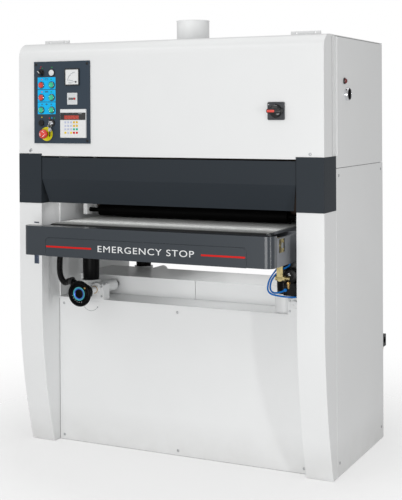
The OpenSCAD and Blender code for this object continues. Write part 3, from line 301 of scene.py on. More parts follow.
def printed(name, tone, rough=0.45):
    """Screen print: a flat colour with slight unevenness of the ink."""
    look = Look(name, Specular_IOR_Level=0.25)
    ink = look.noise(160.0, 3.0)
    pale = tuple(min(1.0, x * 1.06) for x in tone[:3]) + (1.0,)
    deep = tuple(x * 0.93 for x in tone[:3]) + (1.0,)
    look.paint(Base_Color=look.mix(ink, deep, pale), Roughness=ink * 0.1 + rough)
    return look.material


def glowing(name, tone, strength, rough=0.2):
    """Lit window or lamp lens: its own colour, slightly uneven, with a weak glow."""
    look = Look(name, Roughness=rough, Coat_Weight=0.6, Coat_Roughness=0.08)
    uneven = look.noise(120.0, 2.0)
    look.paint(
        Base_Color=look.mix(uneven, tuple(x * 0.8 for x in tone[:3]) + (1,), tone),
        Emission_Color=tone,
        Emission_Strength=strength,
    )
    return look.material


def rough_top(name, nose):
    """Feed belt: grey rubber with a close weave of raised squares and paler wear on the squares. Ahead of
    nose, where the belt turns round its front roller, it is painted nearly black as shade."""
    look = Look(name)
    weave = look.add(
        "ShaderNodeTexVoronoi", {"distance": "CHEBYCHEV"}, {
            "Vector": look.place, "Scale": 170.0, "Randomness": 0.4
        }
    )
    cloud = look.noise(7.0, 5.0)
    speck = look.noise(150.0, 3.0)
    worn = (cloud * 0.16 + speck * 1.3 - weave * 0.5 - 0.2).clip()
    # Mask of the painted shade on the belt's nose, ahead of the front roller's axis
    turned = ((nose - look.axes()[1]) / 0.012).clip()
    base = look.mix(worn, shade("belt", 0.5), shade("belt", 1.12))
    look.paint(Base_Color=look.mix(turned, base, NOSE_SHADE_BLACK), Roughness=0.86 - worn * 0.12)
    look.relief(1.0 - weave, 0.0012)
    return look.material


def abrasive_grain(name):
    """Abrasive cloth: very dark brown grain with a coarse random bump."""
    look = Look(name, Roughness=0.9)
    grain = look.noise(900.0, 2.0)
    look.paint(Base_Color=look.mix(grain, (0.012, 0.008, 0.006, 1), (0.06, 0.036, 0.024, 1)))
    look.relief(grain, 0.0006)
    return look.material


def soft_rubber(name, tone, rough, ribs=0.0, gloss=0.1):
    """Black rubber: dull, slightly dusty, with faint rings when ribs is a number per metre."""
    look = Look(name, Specular_IOR_Level=gloss)
    dust = look.noise(14.0, 5.0)
    height = look.axes()[2]
    base = tuple(x * 0.7 for x in tone) + (1,), tuple(x * 1.6 for x in tone) + (1,)
    look.paint(Base_Color=look.mix(dust, *base), Roughness=rough + (dust - 0.5) * 0.2)
    if ribs:
        wave = height * (ribs * TURN)
        look.relief(wave.math("SINE", wave), 0.0006)
    else:
        look.relief(look.noise(500.0, 2.0), 0.00005, 0.0008)
    return look.material


def dial_blue(name, centre):
    """Anodised dial ring: blue at its inner edge, sea green at its outer edge, by distance from the axis."""
    look = Look(name, Metallic=0.55, Roughness=0.24, Coat_Weight=0.5)
    x, _, z = look.axes()
    dx, dz = x - centre[0], z - centre[1]
    reach = (dx * dx + dz * dz) ** 0.5
    share = ((reach - 0.0195) / 0.0095).clip()
    look.paint(Base_Color=look.mix(share, (*tint(0x2C3CC8), 1), (*tint(0x58D0C4), 1)))
    return look.material


# Screen colours of the printed marks
INKS = {
    "scale_print": 0x3E4858,
    "red_print": 0xD40E06,
    "green_print": 0x1FA84A,
    "teal_print": 0x08BA98,
    "amber_print": 0xE2B80E,
    "yellow_print": 0xF2D322,
    "pale_print": 0xC9CFE4,
}


def make_looks():
    """Fills the table of looks from the colour properties."""
    LOOKS.update({name: printed(name, (*tint(code), 1)) for name, code in INKS.items()})
    LOOKS.update(
        white=coated_metal("white_paint", "white", 0.42, soil=0.35, edge=0.0015, coat=0.35),
        # Side frames: white paint, with painted shade where they reach into the right-hand column
        arms=coated_metal("side_frame_paint", "white", 0.42, soil=0.35, arms=True),
        dark=coated_metal(
            "dark_paint", "dark", 0.46, grain=480.0, depth=0.00008, edge=0.002, gloss=0.12, level=0.86
        ),
        bar=coated_metal(
            "stop_bar_paint", "dark", 0.32, grain=480.0, depth=0.00003, edge=0.003, coat=0.5, gloss=0.3,
            level=1.05
        ),
        vinyl=coated_metal(
            "panel_vinyl", "vinyl", 0.5, grain=1500.0, depth=0.00003, edge=0.001, gloss=0.25
        ),
        frame=coated_metal("frame_paint", "frame", 0.5, soil=0.4),
        table=coated_metal("table_paint", "table", 0.45, grain=420.0, depth=0.00008),
        motor=coated_metal("motor_paint", "table", 0.4, coat=0.2, level=0.4),
        # Feed belt, with painted shade on its nose round the front roller
        belt=rough_top("rough_top_belt", middle("feed_idler_roller")[1] / 1000),
        abrasive=abrasive_grain("abrasive_grain"),
        boot=soft_rubber("boot_rubber", (0.002, 0.002, 0.0022), 0.42),
        roller=soft_rubber("roller_rubber", (0.001, 0.001, 0.001), 0.6, gloss=0.03),
        rubber=soft_rubber("plain_rubber", (0.012, 0.012, 0.013), 0.6),
        conduit=soft_rubber("conduit_rubber", (0.003, 0.003, 0.0034), 0.28, ribs=260.0, gloss=0.2),
        black=moulded("black_plastic", "black", 0.38),
        plate=moulded("plate_plastic", "black", 0.42, level=6.5),
        wheel=moulded("wheel_plastic", "black", 0.34, level=0.25, gloss=0.1),
        valve=moulded("valve_plastic", "black", 0.3, level=0.25, gloss=0.18),
        gloss=moulded("black_gloss", "black", 0.12, level=0.6, coat=0.6),
        red=moulded("red_plastic", "red", 0.3, coat=0.5),
        green=moulded("green_plastic", "green", 0.28, coat=0.5),
        yellow=moulded("yellow_plastic", "yellow", 0.36),
        ivory=moulded("case_plastic", "ivory", 0.42),
        tube=moulded("tube_plastic", "tube", 0.3, gloss=0.2),
        steel=bare_metal("ground_steel", (0.52, 0.53, 0.54, 1), 0.28),
        chrome=bare_metal("chrome_plate", (0.82, 0.83, 0.85, 1), 0.06, stain=0.06),
        zinc=bare_metal("yellow_zinc", shade("zinc"), 0.34, stain=0.5, dark=(0.16, 0.13, 0.05, 1)),
        brass=bare_metal("brass_metal", shade("brass"), 0.22, stain=0.25),
        cyan=printed("legend_print", shade("cyan")),
        white_print=printed("white_print", (0.83, 0.84, 0.84, 1)),
        dark_print=printed("dark_print", (0.05, 0.08, 0.13, 1)),
        grey_print=printed("grey_print", (0.28, 0.29, 0.3, 1)),
        display=glowing("display_window", shade("display"), 0.06),
        digit=glowing("display_digit", (*tint(0xE85A3C), 1), 0.2),
        lamp=glowing("lamp_lens", (0.8, 0.8, 0.8, 1), 0.06, 0.25),
        red_lens=glowing("red_lens", (*tint(0x6E0804), 1), 0.05, 0.12),
        dial=dial_blue("dial_ring", middle("handwheel")[[0, 2]] / 1000),
    )


# Shapes


class Shape:
    """Closed surfaces gathered into one mesh, each with a material of its own."""

    def __init__(self):
        self.points, self.faces, self.numbers, self.looks = [], [], [], []

    def grid(self, points, look, loop=False):
        """Joins outlines points[k, n] by four-sided faces. Each outline is closed; the first and last
        outline are filled, or are joined to each other where loop is set."""
        k, n = points.shape[:2]
        ids = sum(len(p) for p in self.points) + np.arange(k * n).reshape(k, n)
        far = np.roll(ids, -1, 0) if loop else ids[1:]
        near = ids if loop else ids[:-1]
        quads = np.stack([near, np.roll(near, -1, 1), np.roll(far, -1, 1), far], -1).reshape(-1, 4)
        faces = quads.tolist() + ([] if loop else [ids[0, ::-1].tolist(), ids[-1].tolist()])
        if look not in self.looks:
            self.looks.append(look)
        self.points.append(points.reshape(-1, 3))
        self.faces += faces
        self.numbers += [self.looks.index(look)] * len(faces)
        return self

    def slab(self, seat, centre, half, r, levels, look):
        """Rounded rectangle carried out of its seat: each level gives an inset and a height."""
        rings = [np.insert(rounded(half[0] - i, half[1] - i, max(r - i, 0.05)), 2, h, 1) for i, h in levels]
        return self.grid(np.stack(rings) @ seat + np.asarray(centre, float), look)

    def block(self, seat, centre, half, r, low, high, look):
        """Rounded rectangle of even section between two heights."""
        return self.slab(seat, centre, half, r, [(0, low), (0, high)], look)

    def turned(self, seat, centre, profile, look, n=40, loop=False):
        """Profile of radius and height turned about the axis that stands out of its seat."""
        r, h = np.asarray(profile, float).T[:, :, None]
        t = np.linspace(0, 2 * np.pi, n, endpoint=False)
        rings = np.stack(np.broadcast_arrays(r * np.cos(t), r * np.sin(t), h), -1)
        return self.grid(rings @ seat + np.asarray(centre, float), look, loop)

    def plate(self, seat, centre, outline, low, high, look):
        """Flat outline carried straight out of its seat from one height to another."""
        rings = np.stack([np.insert(np.asarray(outline, float), 2, h, 1) for h in (low, high)])
        return self.grid(rings @ seat + np.asarray(centre, float), look)

    def frame_plate(self, seat, centre, inner, outer, low, high, look):
        """Flat ring between two outlines with equal numbers of points."""
        rings = [
            np.insert(o, 2, h, 1) for o, h in ((inner, low), (inner, high), (outer, high), (outer, low))
        ]
        return self.grid(np.stack(rings) @ seat + np.asarray(centre, float), look, loop=True)

    def tube(self, path, radius, look, n=20):
        """Round section carried along a path that stays square to Y."""
        ahead = np.gradient(path, axis=0)
        ahead /= np.linalg.norm(ahead, axis=1)[:, None]
        side = np.cross(ahead, [0.0, 1.0, 0.0])
        t = np.linspace(0, 2 * np.pi, n, endpoint=False)
        r = np.broadcast_to(radius, len(path))[:, None, None]
        rings = np.cos(t)[None, :, None] * side[:, None] + np.sin(t)[None, :, None] * np.array(
            [0.0, 1.0, 0.0]
        )
        return self.grid(path[:, None] + r * rings, look)

    def piece(self, name, body, slot):
        """Writes the mesh in metres, faces outward, and lets it ride on a CAD body."""
        mesh = bpy.data.meshes.new(name)
        mesh.from_pydata((np.concatenate(self.points) / 1000).tolist(), [], self.faces)
        for look in self.looks:
            mesh.materials.append(LOOKS[look])
        mesh.polygons.foreach_set("material_index", np.array(self.numbers, np.int32))
        outward(mesh)
        made = bpy.data.objects.new(name, mesh)
        bpy.context.scene.collection.objects.link(made)
        if body:
            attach(made, body)
        return made


def outward(mesh):
    """Turns every closed shell's faces outward and sets soft and sharp edges by angle."""
    work = bmesh.new()
    work.from_mesh(mesh)
    bmesh.ops.recalc_face_normals(work, faces=work.faces)
    work.to_mesh(mesh)
    work.free()
    mesh.shade_smooth()
    mesh.set_sharp_from_angle(angle=0.6)
    mesh.update()


def rounded(a, b, r, n=6):
    """Outline of a rectangle of half sides a and b with corners of radius r."""
    t = np.linspace(0, np.pi / 2, n + 1)
    turns = np.concatenate([t + q * np.pi / 2 for q in range(4)])
    cx = np.repeat([a - r, r - a, r - a, a - r], n + 1)
    cy = np.repeat([b - r, b - r, r - b, r - b], n + 1)
    return np.stack([cx + r * np.cos(turns), cy + r * np.sin(turns)], -1)


def circle(r, n=48, start=0.0):
    t = np.linspace(0, 2 * np.pi, n, endpoint=False) + start
    return np.stack([r * np.cos(t), r * np.sin(t)], -1)


def window(reach, n=64):
    """Directions round a point and the rectangle (left, right, down, up) that they meet."""
    left, right, down, up = reach
    corners = np.arctan2([down * -1, down * -1, up, up], [-left, right, right, -left])
    t = np.sort(np.concatenate([np.linspace(-np.pi, np.pi, n, endpoint=False), corners]))
    c, s = np.cos(t), np.sin(t)
    wide = np.where(c > 0, right, left) / np.maximum(np.abs(c), 1e-9)
    tall = np.where(s > 0, up, down) / np.maximum(np.abs(s), 1e-9)
    return np.stack([c, s], -1), np.stack([c, s], -1) * np.minimum(wide, tall)[:, None]


def curve_through(points, per=8):
    """Smooth path through points: cubic stretches whose slope at a point is half its neighbours' chord."""
    p = np.asarray(points, float)
    p = np.concatenate([2 * p[:1] - p[1:2], p, 2 * p[-1:] - p[-2:-1]])
    t = np.linspace(0, 1, per, endpoint=False)[:, None, None]
    a, b, c, d = p[:-3], p[1:-2], p[2:-1], p[3:]
    path = 0.5 * (2 * b + (c - a) * t + (2 * a - 5 * b + 4 * c - d) * t**2 + (3 * b - a - 3 * c + d) * t**3)
    return np.concatenate([path.transpose(1, 0, 2).reshape(-1, 3), p[-2:-1]])


def span(node):
    """Lowest and highest corner of a CAD node, in millimetres."""
    lo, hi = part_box(node)
    return np.array(lo) * 1000, np.array(hi) * 1000


def middle(node):
    lo, hi = span(node)
    return (lo + hi) / 2


def middle_at(node, axis, value):
    """Middle of a CAD node, moved along one axis to a value."""
    at = middle(node)
    at[axis] = value
    return at


def rays(degrees):
    """Points of the unit circle at angles in degrees."""
    t = np.radians(degrees)
    return np.stack([np.cos(t), np.sin(t)], -1)


def turned_seat(degrees):
    """Seat on the front whose first axis is turned from across, and that axis in the seat's plane."""
    x, y = rays(degrees)
    return np.array([[x, y, 0], [-y, x, 0], [0, 0, 1]]) @ FRONT, np.array([x, y, 0])


def arc_band(low, high, n, outer, inner):
    """Outline of a band between two radii, from one angle to another in degrees."""
    arc = rays(np.linspace(low, high, n))
    return np.concatenate([arc * outer, arc[::-1] * inner])


def points_of(mesh):
    """Vertices of a mesh as rows of an array."""
    points = np.empty(len(mesh.vertices) * 3, np.float32)
    mesh.vertices.foreach_get("co", points)
    return points.reshape(-1, 3)


SEGMENTS = {
    "0": "abcdef", "1": "bc", "2": "abged", "3": "abgcd", "4": "fgbc",
    "5": "afgcd", "6": "afgedc", "7": "abc", "8": "abcdefg", "9": "abcdfg",
}
BARS = {
    "a": (0, 1, 1), "b": (1, 0.5, 0), "c": (1, -0.5, 0), "d": (0, -1, 1),
    "e": (-1, -0.5, 0), "f": (-1, 0.5, 0), "g": (0, 0, 1),
}


def numerals(shape, seat, centre, digits, w, h, pitch, low, high, look):
    """Plain seven-bar numerals, w and h being half the width and height of one."""
    bar = w * 0.28
    for i, digit in enumerate(digits):
        for name in SEGMENTS[digit]:
            u, v, flat = BARS[name]
            half = (w - bar * 0.6, bar / 2) if flat else (bar / 2, h / 2 - bar * 0.3)
            at = np.array([u * w + i * pitch, v * h, 0]) @ seat + centre
            shape.block(seat, at, half, bar * 0.2, low, high, look)
    return shape


# Stage

CAMERA_AT = (2.124255, -4.371374, 1.434893)
CAMERA_YAW, CAMERA_PITCH, CAMERA_ROLL = 25.975, -0.322, -0.275
CAMERA_LENS, CAMERA_SHIFT = 79.795, -0.26063
AMBIENT = 0.45
# Lamps: place, aim, width and height in metres, and power in watts
LAMPS = {
    "key_light": ((-1.8, -5.0, 2.8), (0, -0.2, 0.9), (3.2, 3.2), 20),
    "front_fill": ((0.6, -5.0, 0.65), (0, 0, 0.6), (2.6, 1.6), 76),
    "side_fill": ((4.6, -0.6, 2.0), (0.5, 0, 0.9), (2.6, 2.6), 9),
    "top_light": ((0.0, 0.4, 4.6), (0, 0, 0), (3.6, 3.6), 40),
    "throat_fill": ((0, -0.335, 1.05), (0, -0.26, 0.96), (1.05, 0.03), 0.75),
    "deck_fill": ((0.22, 0, 0.846), (0.22, 0.01, 0.6), (0.6, 0.5), 0.8),
    "edge_light": ((3.4, -1.9, 1.0), (0.5, -0.5, 0.9), (0.16, 1.3), 20),
    "strip_light": ((-1.5, -3.0, 4.2), (0.1, -0.4, 1.5), (3.0, 0.12), 17),
}
# Floor in metres: half its side, where it starts to fade, how far it fades and how low it lies
FLOOR_HALF, FADE_START, FADE_REACH, FLOOR_DROP = 2.4, 0.8, 1.4, 0.0005


def camera_axes():
    """Right, up and ahead of the camera from its yaw, pitch and roll."""
    a, b, c = np.radians([CAMERA_YAW, CAMERA_PITCH, CAMERA_ROLL])
    ahead = np.array([-np.sin(a) * np.cos(b), np.cos(a) * np.cos(b), np.sin(b)])
    right = np.array([np.cos(a), np.sin(a), 0])
    up = np.cross(right, ahead)
    return np.cos(c) * right + np.sin(c) * up, np.cos(c) * up - np.sin(c) * right, ahead


def soft_light(name, at, aim, size, power):
    """Large flat lamp that faces a point; size gives its width and height. It isn't seen itself."""
    lamp = bpy.data.lights.new(name, "AREA")
    lamp.shape, lamp.energy = "RECTANGLE", power
    lamp.size, lamp.size_y = size
    made = bpy.data.objects.new(name, lamp)
    made.visible_camera = False
    back = np.asarray(at, float) - np.asarray(aim, float)
    back /= np.linalg.norm(back)
    side = np.cross([0.0, 0, 1], back)
    side /= np.linalg.norm(side)
    turn = np.eye(4)
    turn[:3, 0], turn[:3, 1], turn[:3, 2], turn[:3, 3] = side, np.cross(back, side), back, at
    made.matrix_world = Matrix(turn.tolist())
    bpy.context.scene.collection.objects.link(made)


class SANDER_OT_stage(bpy.types.Operator):
    """Camera of the photograph, soft studio light, white surround and a pale floor"""

    bl_idname = "sander.stage"
    bl_label = "Stage"

    def execute(self, context):
        scene = context.scene
        camera = bpy.data.objects.new("camera", bpy.data.cameras.new("camera"))
        right, up, ahead = camera_axes()
        place = np.eye(4)
        place[:3, 0], place[:3, 1], place[:3, 2], place[:3, 3] = right, up, -ahead, CAMERA_AT
        camera.matrix_world = Matrix(place.tolist())
        camera.data.lens, camera.data.shift_y = CAMERA_LENS, CAMERA_SHIFT
        camera.data.clip_end = 200
        scene.collection.objects.link(camera)
        scene.camera = camera
        scene.view_settings.view_transform = "Standard"

        world = bpy.data.worlds.new("surround")
        scene.world = world
        world.use_nodes = True
        nodes, links = world.node_tree.nodes, world.node_tree.links
        path = nodes.new("ShaderNodeLightPath")
        seen = nodes.new("ShaderNodeMath")
        seen.operation = "MAXIMUM"
        links.new(path.outputs["Is Camera Ray"], seen.inputs[0])
        links.new(path.outputs["Is Transmission Ray"], seen.inputs[1])
        level = nodes.new("ShaderNodeMapRange")
        level.inputs["To Min"].default_value = AMBIENT
        level.inputs["To Max"].default_value = 1.0
        links.new(seen.outputs[0], level.inputs["Value"])
        ground = nodes["Background"]
        ground.inputs["Color"].default_value = (1, 1, 1, 1)
        links.new(level.outputs[0], ground.inputs["Strength"])


        for name, lamp in LAMPS.items():
            soft_light(name, *lamp)

        floor = Look("floor", Roughness=0.9)
        x, y, _ = floor.axes()
        reach = (x * x + y * y) ** 0.5
        fade = 1.0 - ((reach - FADE_START) / FADE_REACH).clip()
        floor.paint(Base_Color=(0.93, 0.93, 0.93, 1), Alpha=fade**2.0 * 0.5)
        mesh = bpy.data.meshes.new("floor")
        t = np.linspace(-FLOOR_HALF, FLOOR_HALF, 2)
        corners = np.stack([*np.meshgrid(t, t), np.zeros((2, 2))], -1).reshape(-1, 3)
        mesh.from_pydata(corners.tolist(), [], [[0, 1, 3, 2]])
        mesh.materials.append(floor.material)
        made = bpy.data.objects.new("floor", mesh)
        made.location.z = -FLOOR_DROP
        scene.collection.objects.link(made)
        return {"FINISHED"}


# Pieces

FRAME_LOOKS = {
    "white": "deck_covers casing_panels front_cover roof_panel leg_covers lower_front_panel dust_port "
    "lifting_brackets right_upper_door jack_gearboxes head_beam",
    # Side frames get the white paint with painted shade inside the right-hand column
    "arms": "side_frames",
    "dark": "beam_caps infeed_hood",
    "bar": "front_bar",
    "vinyl": "control_panel",
    "frame": "base_frame tension_yoke",
    "table": "table_frame",
    "motor": "main_motor drum_bearings motor_pulley feed_drive",
    "rubber": "drive_belts contact_drum feed_drive_roller",
    "roller": "infeed_pressure_roller outfeed_pressure_roller",
    "abrasive": "abrasive_belt",
    "black": "air_regulator",
    "steel": "lift_chain jack_screws feed_idler_roller tension_roller right_lift_shaft",
    "zinc": "take_up_blocks",
}


class SANDER_OT_looks(bpy.types.Operator):
    """Make the looks and put them on the CAD nodes that stay in view"""

    bl_idname = "sander.looks"
    bl_label = "Looks"

    def execute(self, context):
        make_looks()
        for look, nodes in FRAME_LOOKS.items():
            for node in nodes.split():
                mesh = frame["nodes"][node].data
                mesh.materials.clear()
                mesh.materials.append(LOOKS[look])
        return {"FINISHED"}


BUTTONS = {
    "sanding_stop": "red", "sanding_start": "green", "feed_stop": "red",
    "feed_start": "green", "table_up": "green", "table_down": "green",
}


def panel_face():
    """Depth of the control panel's face."""
    return span("control_panel")[0][1]


def on_panel(node):
    """Point of the control panel's face behind a CAD node."""
    return middle_at(node, 1, panel_face())


class SANDER_OT_legends(bpy.types.Operator):
    """Printed plates and marks on the control panel"""

    bl_idname = "sander.legends"
    bl_label = "Panel legends"

    def execute(self, context):
        s, marks = sizes(), Shape()
        plates = Shape()
        for i, name in enumerate(BUTTONS):
            at = on_panel(name + "_button")
            reach = (s.legend_left, s.legend_right) if i % 2 == 0 else (s.legend_right, s.legend_left)
            ray, edge = window((*reach, s.legend_down, s.legend_up))
            plates.frame_plate(FRONT, at, ray * (s.bezel_r - 0.5), edge, 0, s.print_t, "cyan")
            dot = at + [3 if i % 2 == 0 else -3, 0, 24]
            tone = {"red": "red_print", "green": "green_print"}[BUTTONS[name]] if i < 4 else "dark_print"
            marks.block(FRONT, dot, (2.6, 2.6), 1.2, 0, 2 * s.print_t, tone)
        top = 2 * s.print_t
        for row in range(3):
            pair = list(BUTTONS)[2 * row : 2 * row + 2]
            at = (on_panel(pair[0] + "_button") + on_panel(pair[1] + "_button")) / 2 + [0, 0, 24.5]
            if row == 0:  # belt over two rollers
                marks.frame_plate(
                    FRONT, at, rounded(7.2, 2.2, 2.1), rounded(8.6, 3.6, 3.5), 0, top, "dark_print"
                )
            elif row == 1:  # board over rollers
                marks.block(FRONT, at + [0, 0, 2.6], (8, 1), 0.4, 0, top, "dark_print")
                for x in (-6, 0, 6):
                    marks.plate(FRONT, at + [x, 0, -1.4], circle(2.2, 20), 0, top, "dark_print")
            else:  # table with its travel
                marks.block(FRONT, at + [0, 0, 0], (7, 1), 0.4, 0, top, "dark_print")
                for v in (1, -1):
                    marks.plate(
                        FRONT, at + [0, 0, 2.6 * v], circle(2.4, 3, np.pi / 2 * v), 0, top, "dark_print"
                    )
        knob, lamp = on_panel("mode_selector"), on_panel("mode_selector") + [53, 0, 0]
        for x, z, tone in ((-1, 27, "red_print"), (-5, 20, "red_print"), (5, 20, "green_print")):
            marks.block(FRONT, knob + [x, 0, z], (1.8, 1.8), 0.8, 0, top, tone)
        marks.block(FRONT, lamp + [1, 0, 23], (2.2, 2.2), 1, 0, top, "green_print")
        key = on_panel("key_switch")
        for x, z, tone in ((-51, 25, "yellow_print"), (-13, 21, "red_print"), (13, 21, "green_print")):
            marks.block(FRONT, key + [x, 0, z], (2.2, 2.2), 1, 0, top, tone)
        marks.plate(FRONT, key + [0, 0, 22], circle(4.2, 3, np.pi / 2), 0, top, "cyan")
        plates.piece("legend_plates", "machine", "panel_blue_grey")
        marks.piece("legend_marks", "machine", "panel_blue_grey")
        return {"FINISHED"}


class SANDER_OT_bezels(bpy.types.Operator):
    """Switch bezels, pilot lamp, buzzer, yellow disc and isolator plate"""

    bl_idname = "sander.bezels"
    bl_label = "Switch bezels"

    def execute(self, context):
        s, rings = sizes(), Shape()
        r = s.bezel_r
        spots = [on_panel(name + "_button") for name in BUTTONS]
        for at in spots:
            rings.turned(
                FRONT, at, [(r, 0), (r, 2.8), (r - 0.8, 4), (r - 2, 4), (r - 2, 0)], "black", loop=True
            )
            rings.turned(
                FRONT, at, [
                    (r - 2, 0), (r - 2, 4.6), (r - 2.5, 5.2), (r - 3.2, 4.8), (r - 3.7, 3), (r - 3.7, 0)
                ],
                "chrome", loop=True,
            )
        knob, key = on_panel("mode_selector"), on_panel("key_switch")
        rings.turned(FRONT, knob, [(r, 0), (r, 2.8), (r - 1, 4), (6.3, 4), (6.3, 0)], "black", loop=True)
        rings.turned(
            FRONT, key, [(r + 1, 0), (r + 1, 5), (r - 1, 7), (9.3, 7), (9.3, 0)], "gloss", loop=True
        )
        lamp = knob + [key[0] - knob[0], 0, 0]
        rings.turned(FRONT, lamp, [(16, 0), (16, 2.4), (15, 3.4), (13, 3.4), (13, 0)], "black", loop=True)
        rings.turned(FRONT, lamp, [(13, 0), (13, 4), (12, 5.6), (8.5, 6.6), (3.5, 7), (0.5, 7)], "lamp")
        buzzer = key + [knob[0] - key[0], 0, 0]
        grooves = [
            (13.5, 0), (13.5, 4.6), (12.4, 6), (9.4, 6), (9, 5.2), (7, 5.2), (6.6, 6), (4, 6), (3.6, 5.2),
            (0.5, 5.2)
        ]
        rings.turned(FRONT, buzzer, grooves, "black")
        made = rings.piece("switch_bezels", "machine", "chrome")
        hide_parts("switch_plates")

        disc = Shape()
        stop = on_panel("estop_button")
        disc.turned(
            FRONT, stop, [
                (30, 0), (30, 1.4), (29.3, 2), (16, 2), (15, 6), (11.3, 6), (11.3, 0)
            ], "yellow", 56, True
        )
        disc.piece("stop_disc", "machine", "meter_plastic")

        plate = Shape()
        at = middle_at("isolator_handle", 1, span("isolator_handle")[1][1])
        rim = [np.insert(o, 2, h, 1) for o, h in (
            (rounded(35, 35, 5, 8), 0), (rounded(35, 35, 5, 8), 6.4), (rounded(33.6, 33.6, 4, 8), 8),
            (rounded(29, 29, 3, 8), 8), (rounded(28, 28, 2.6, 8), 7), (rounded(10.3, 10.3, 10.2, 8), 7),
            (rounded(10.3, 10.3, 10.2, 8), 0))]
        plate.grid(np.stack(rim) @ FRONT + at, "plate", loop=True)
        plate.turned(FRONT, at, [(27, 7), (26.4, 8), (25.6, 8), (25, 7)], "black", 48, True)
        plate.plate(FRONT, at + [-29.5, 0, 25], circle(1.6, 12), 7, 8.2, "white_print")
        plate.piece("isolator_plate", "machine", "black_plastic")
        return {"FINISHED"}


# Angle that each turning mark on the mushroom covers, in degrees
ARROW_ARC = np.degrees(1.1)


class SANDER_OT_switches(bpy.types.Operator):
    """Push buttons, mushroom, selector knob, key and isolator grip"""

    bl_idname = "sander.switches"
    bl_label = "Switches"

    def execute(self, context):
        for name, look in BUTTONS.items():
            node = name + "_button"
            cap = Shape()
            dome = [(11, -1), (11, 6), (10.4, 8), (9, 9), (6, 8.6), (3, 8.4), (0.5, 8.3)]
            cap.turned(FRONT, on_panel(node), dome, look)
            made = cap.piece(name + "_cap", name, "red_plastic" if look == "red" else "green_plastic")
            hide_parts(node)

        cap, at = Shape(), on_panel("estop_button")
        cap.turned(FRONT, at, [(10.9, -1), (10.9, 22), (0.5, 22)], "black")
        cap.turned(
            FRONT, at,
            [(0.5, 21.5), (17.5, 21.5), (19.4, 22.6), (20, 25), (19.7, 29.5), (18.4, 33), (15.4, 36),
             (10.5, 37.6), (5, 38), (0.5, 38)], "red", 56,
        )
        for turn in (35, 155, 275):
            cap.plate(FRONT, at, arc_band(turn, turn + ARROW_ARC, 12, 12, 9.6), 36.4, 37.75, "white_print")
        made = cap.piece("stop_mushroom_cap", "stop_mushroom", "red_plastic")
        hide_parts("estop_button")

        knob, at = Shape(), on_panel("mode_selector")
        knob.turned(FRONT, at, [(5.9, -6), (5.9, 4.2), (12, 4.2), (12, 8.4), (11, 10), (0.5, 10)], "black")
        seat, _ = turned_seat(45)
        knob.slab(seat, at, (4.2, 12), 3.6, [(0, 9), (0, 16.5), (0.8, 18.4), (2, 19)], "black")
        knob.block(seat, at + np.array([0, 4.4, 0]) @ seat, (1.2, 7), 0.5, 18.6, 19.1, "white_print")
        made = knob.piece("mode_selector_knob", "mode_knob", "black_plastic")
        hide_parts("mode_selector")

        lock, at = Shape(), on_panel("key_switch")
        lock.turned(FRONT, at, [(8.9, -6), (8.9, 7.4), (8.2, 8), (0.5, 8)], "chrome")
        blade = [(2.6, 8), (2.6, 12), (6, 13), (9.6, 15), (11, 18.5), (9.6, 22), (6, 24)]
        blade = [(-2.6, 8), *blade, *[(-u, v) for u, v in blade[:0:-1]]]
        on_edge = np.array([[0, 0, 1.0], [0, -1, 0], [1, 0, 0]])
        lock.plate(on_edge, at, blade, -1.1, 1.1, "chrome")
        t = np.linspace(0, 2 * np.pi, 48, endpoint=False)
        around = np.stack([np.cos(t), np.zeros(48), np.sin(t)], -1)
        q = np.linspace(0, 2 * np.pi, 10, endpoint=False)[None, :, None]
        ring = around[:, None] * (8 + 0.8 * np.cos(q)) + np.array([0, 0.8, 0]) * np.sin(q)
        lock.grid(ring + at + [0, -18.5, -13], "chrome", loop=True)
        shank = [[2.2, -37.6], [2.2, -58], [0, -60], [-3, -58], [-3, -37.6]]
        spare = np.concatenate([circle(8.5, 24, -np.pi / 2 + 0.4)[:23] + [0, -29], shank])
        lock.plate(FRONT, at + [1, 0, 0], spare, 17.6, 19.2, "chrome")
        made = lock.piece("key_and_ring", "key", "chrome")
        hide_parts("key_switch")

        grip = Shape()
        at = middle_at("isolator_handle", 1, span("isolator_handle")[1][1])
        grip.turned(
            FRONT, at, [(9.9, 0), (9.9, 10), (24, 10), (24.6, 11.4), (24, 14), (20, 16), (0.5, 16)],
            "gloss", 48
        )
        grip.slab(FRONT, at, (32, 10), 8, [(0, 12), (0, 24), (1, 28.4), (3, 30.4), (4.6, 31)], "black")
        grip.slab(FRONT, at + [-12, 0, 0], (15.5, 5), 3.6, [(0, 29), (0, 31.4), (0.6, 32)], "red")
        made = grip.piece("isolator_grip", "isolator_knob", "black_plastic")
        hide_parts("isolator_handle")
        return {"FINISHED"}


# Half sides of the ammeter and the hour meter
AMMETER, HOURS = 36, 25
# Angles of the ammeter's scale and needle, in degrees
DIAL_ARC, NEEDLE = (98, 172), 166
# Tones of the controller's keys, row by row
KEY_TONES = ("pppaa", "pppaa", "ppptt", "ypyrr")
KEY_PRINTS = {
    "p": "pale_print", "a": "amber_print", "t": "teal_print", "y": "yellow_print", "r": "red_print"
}


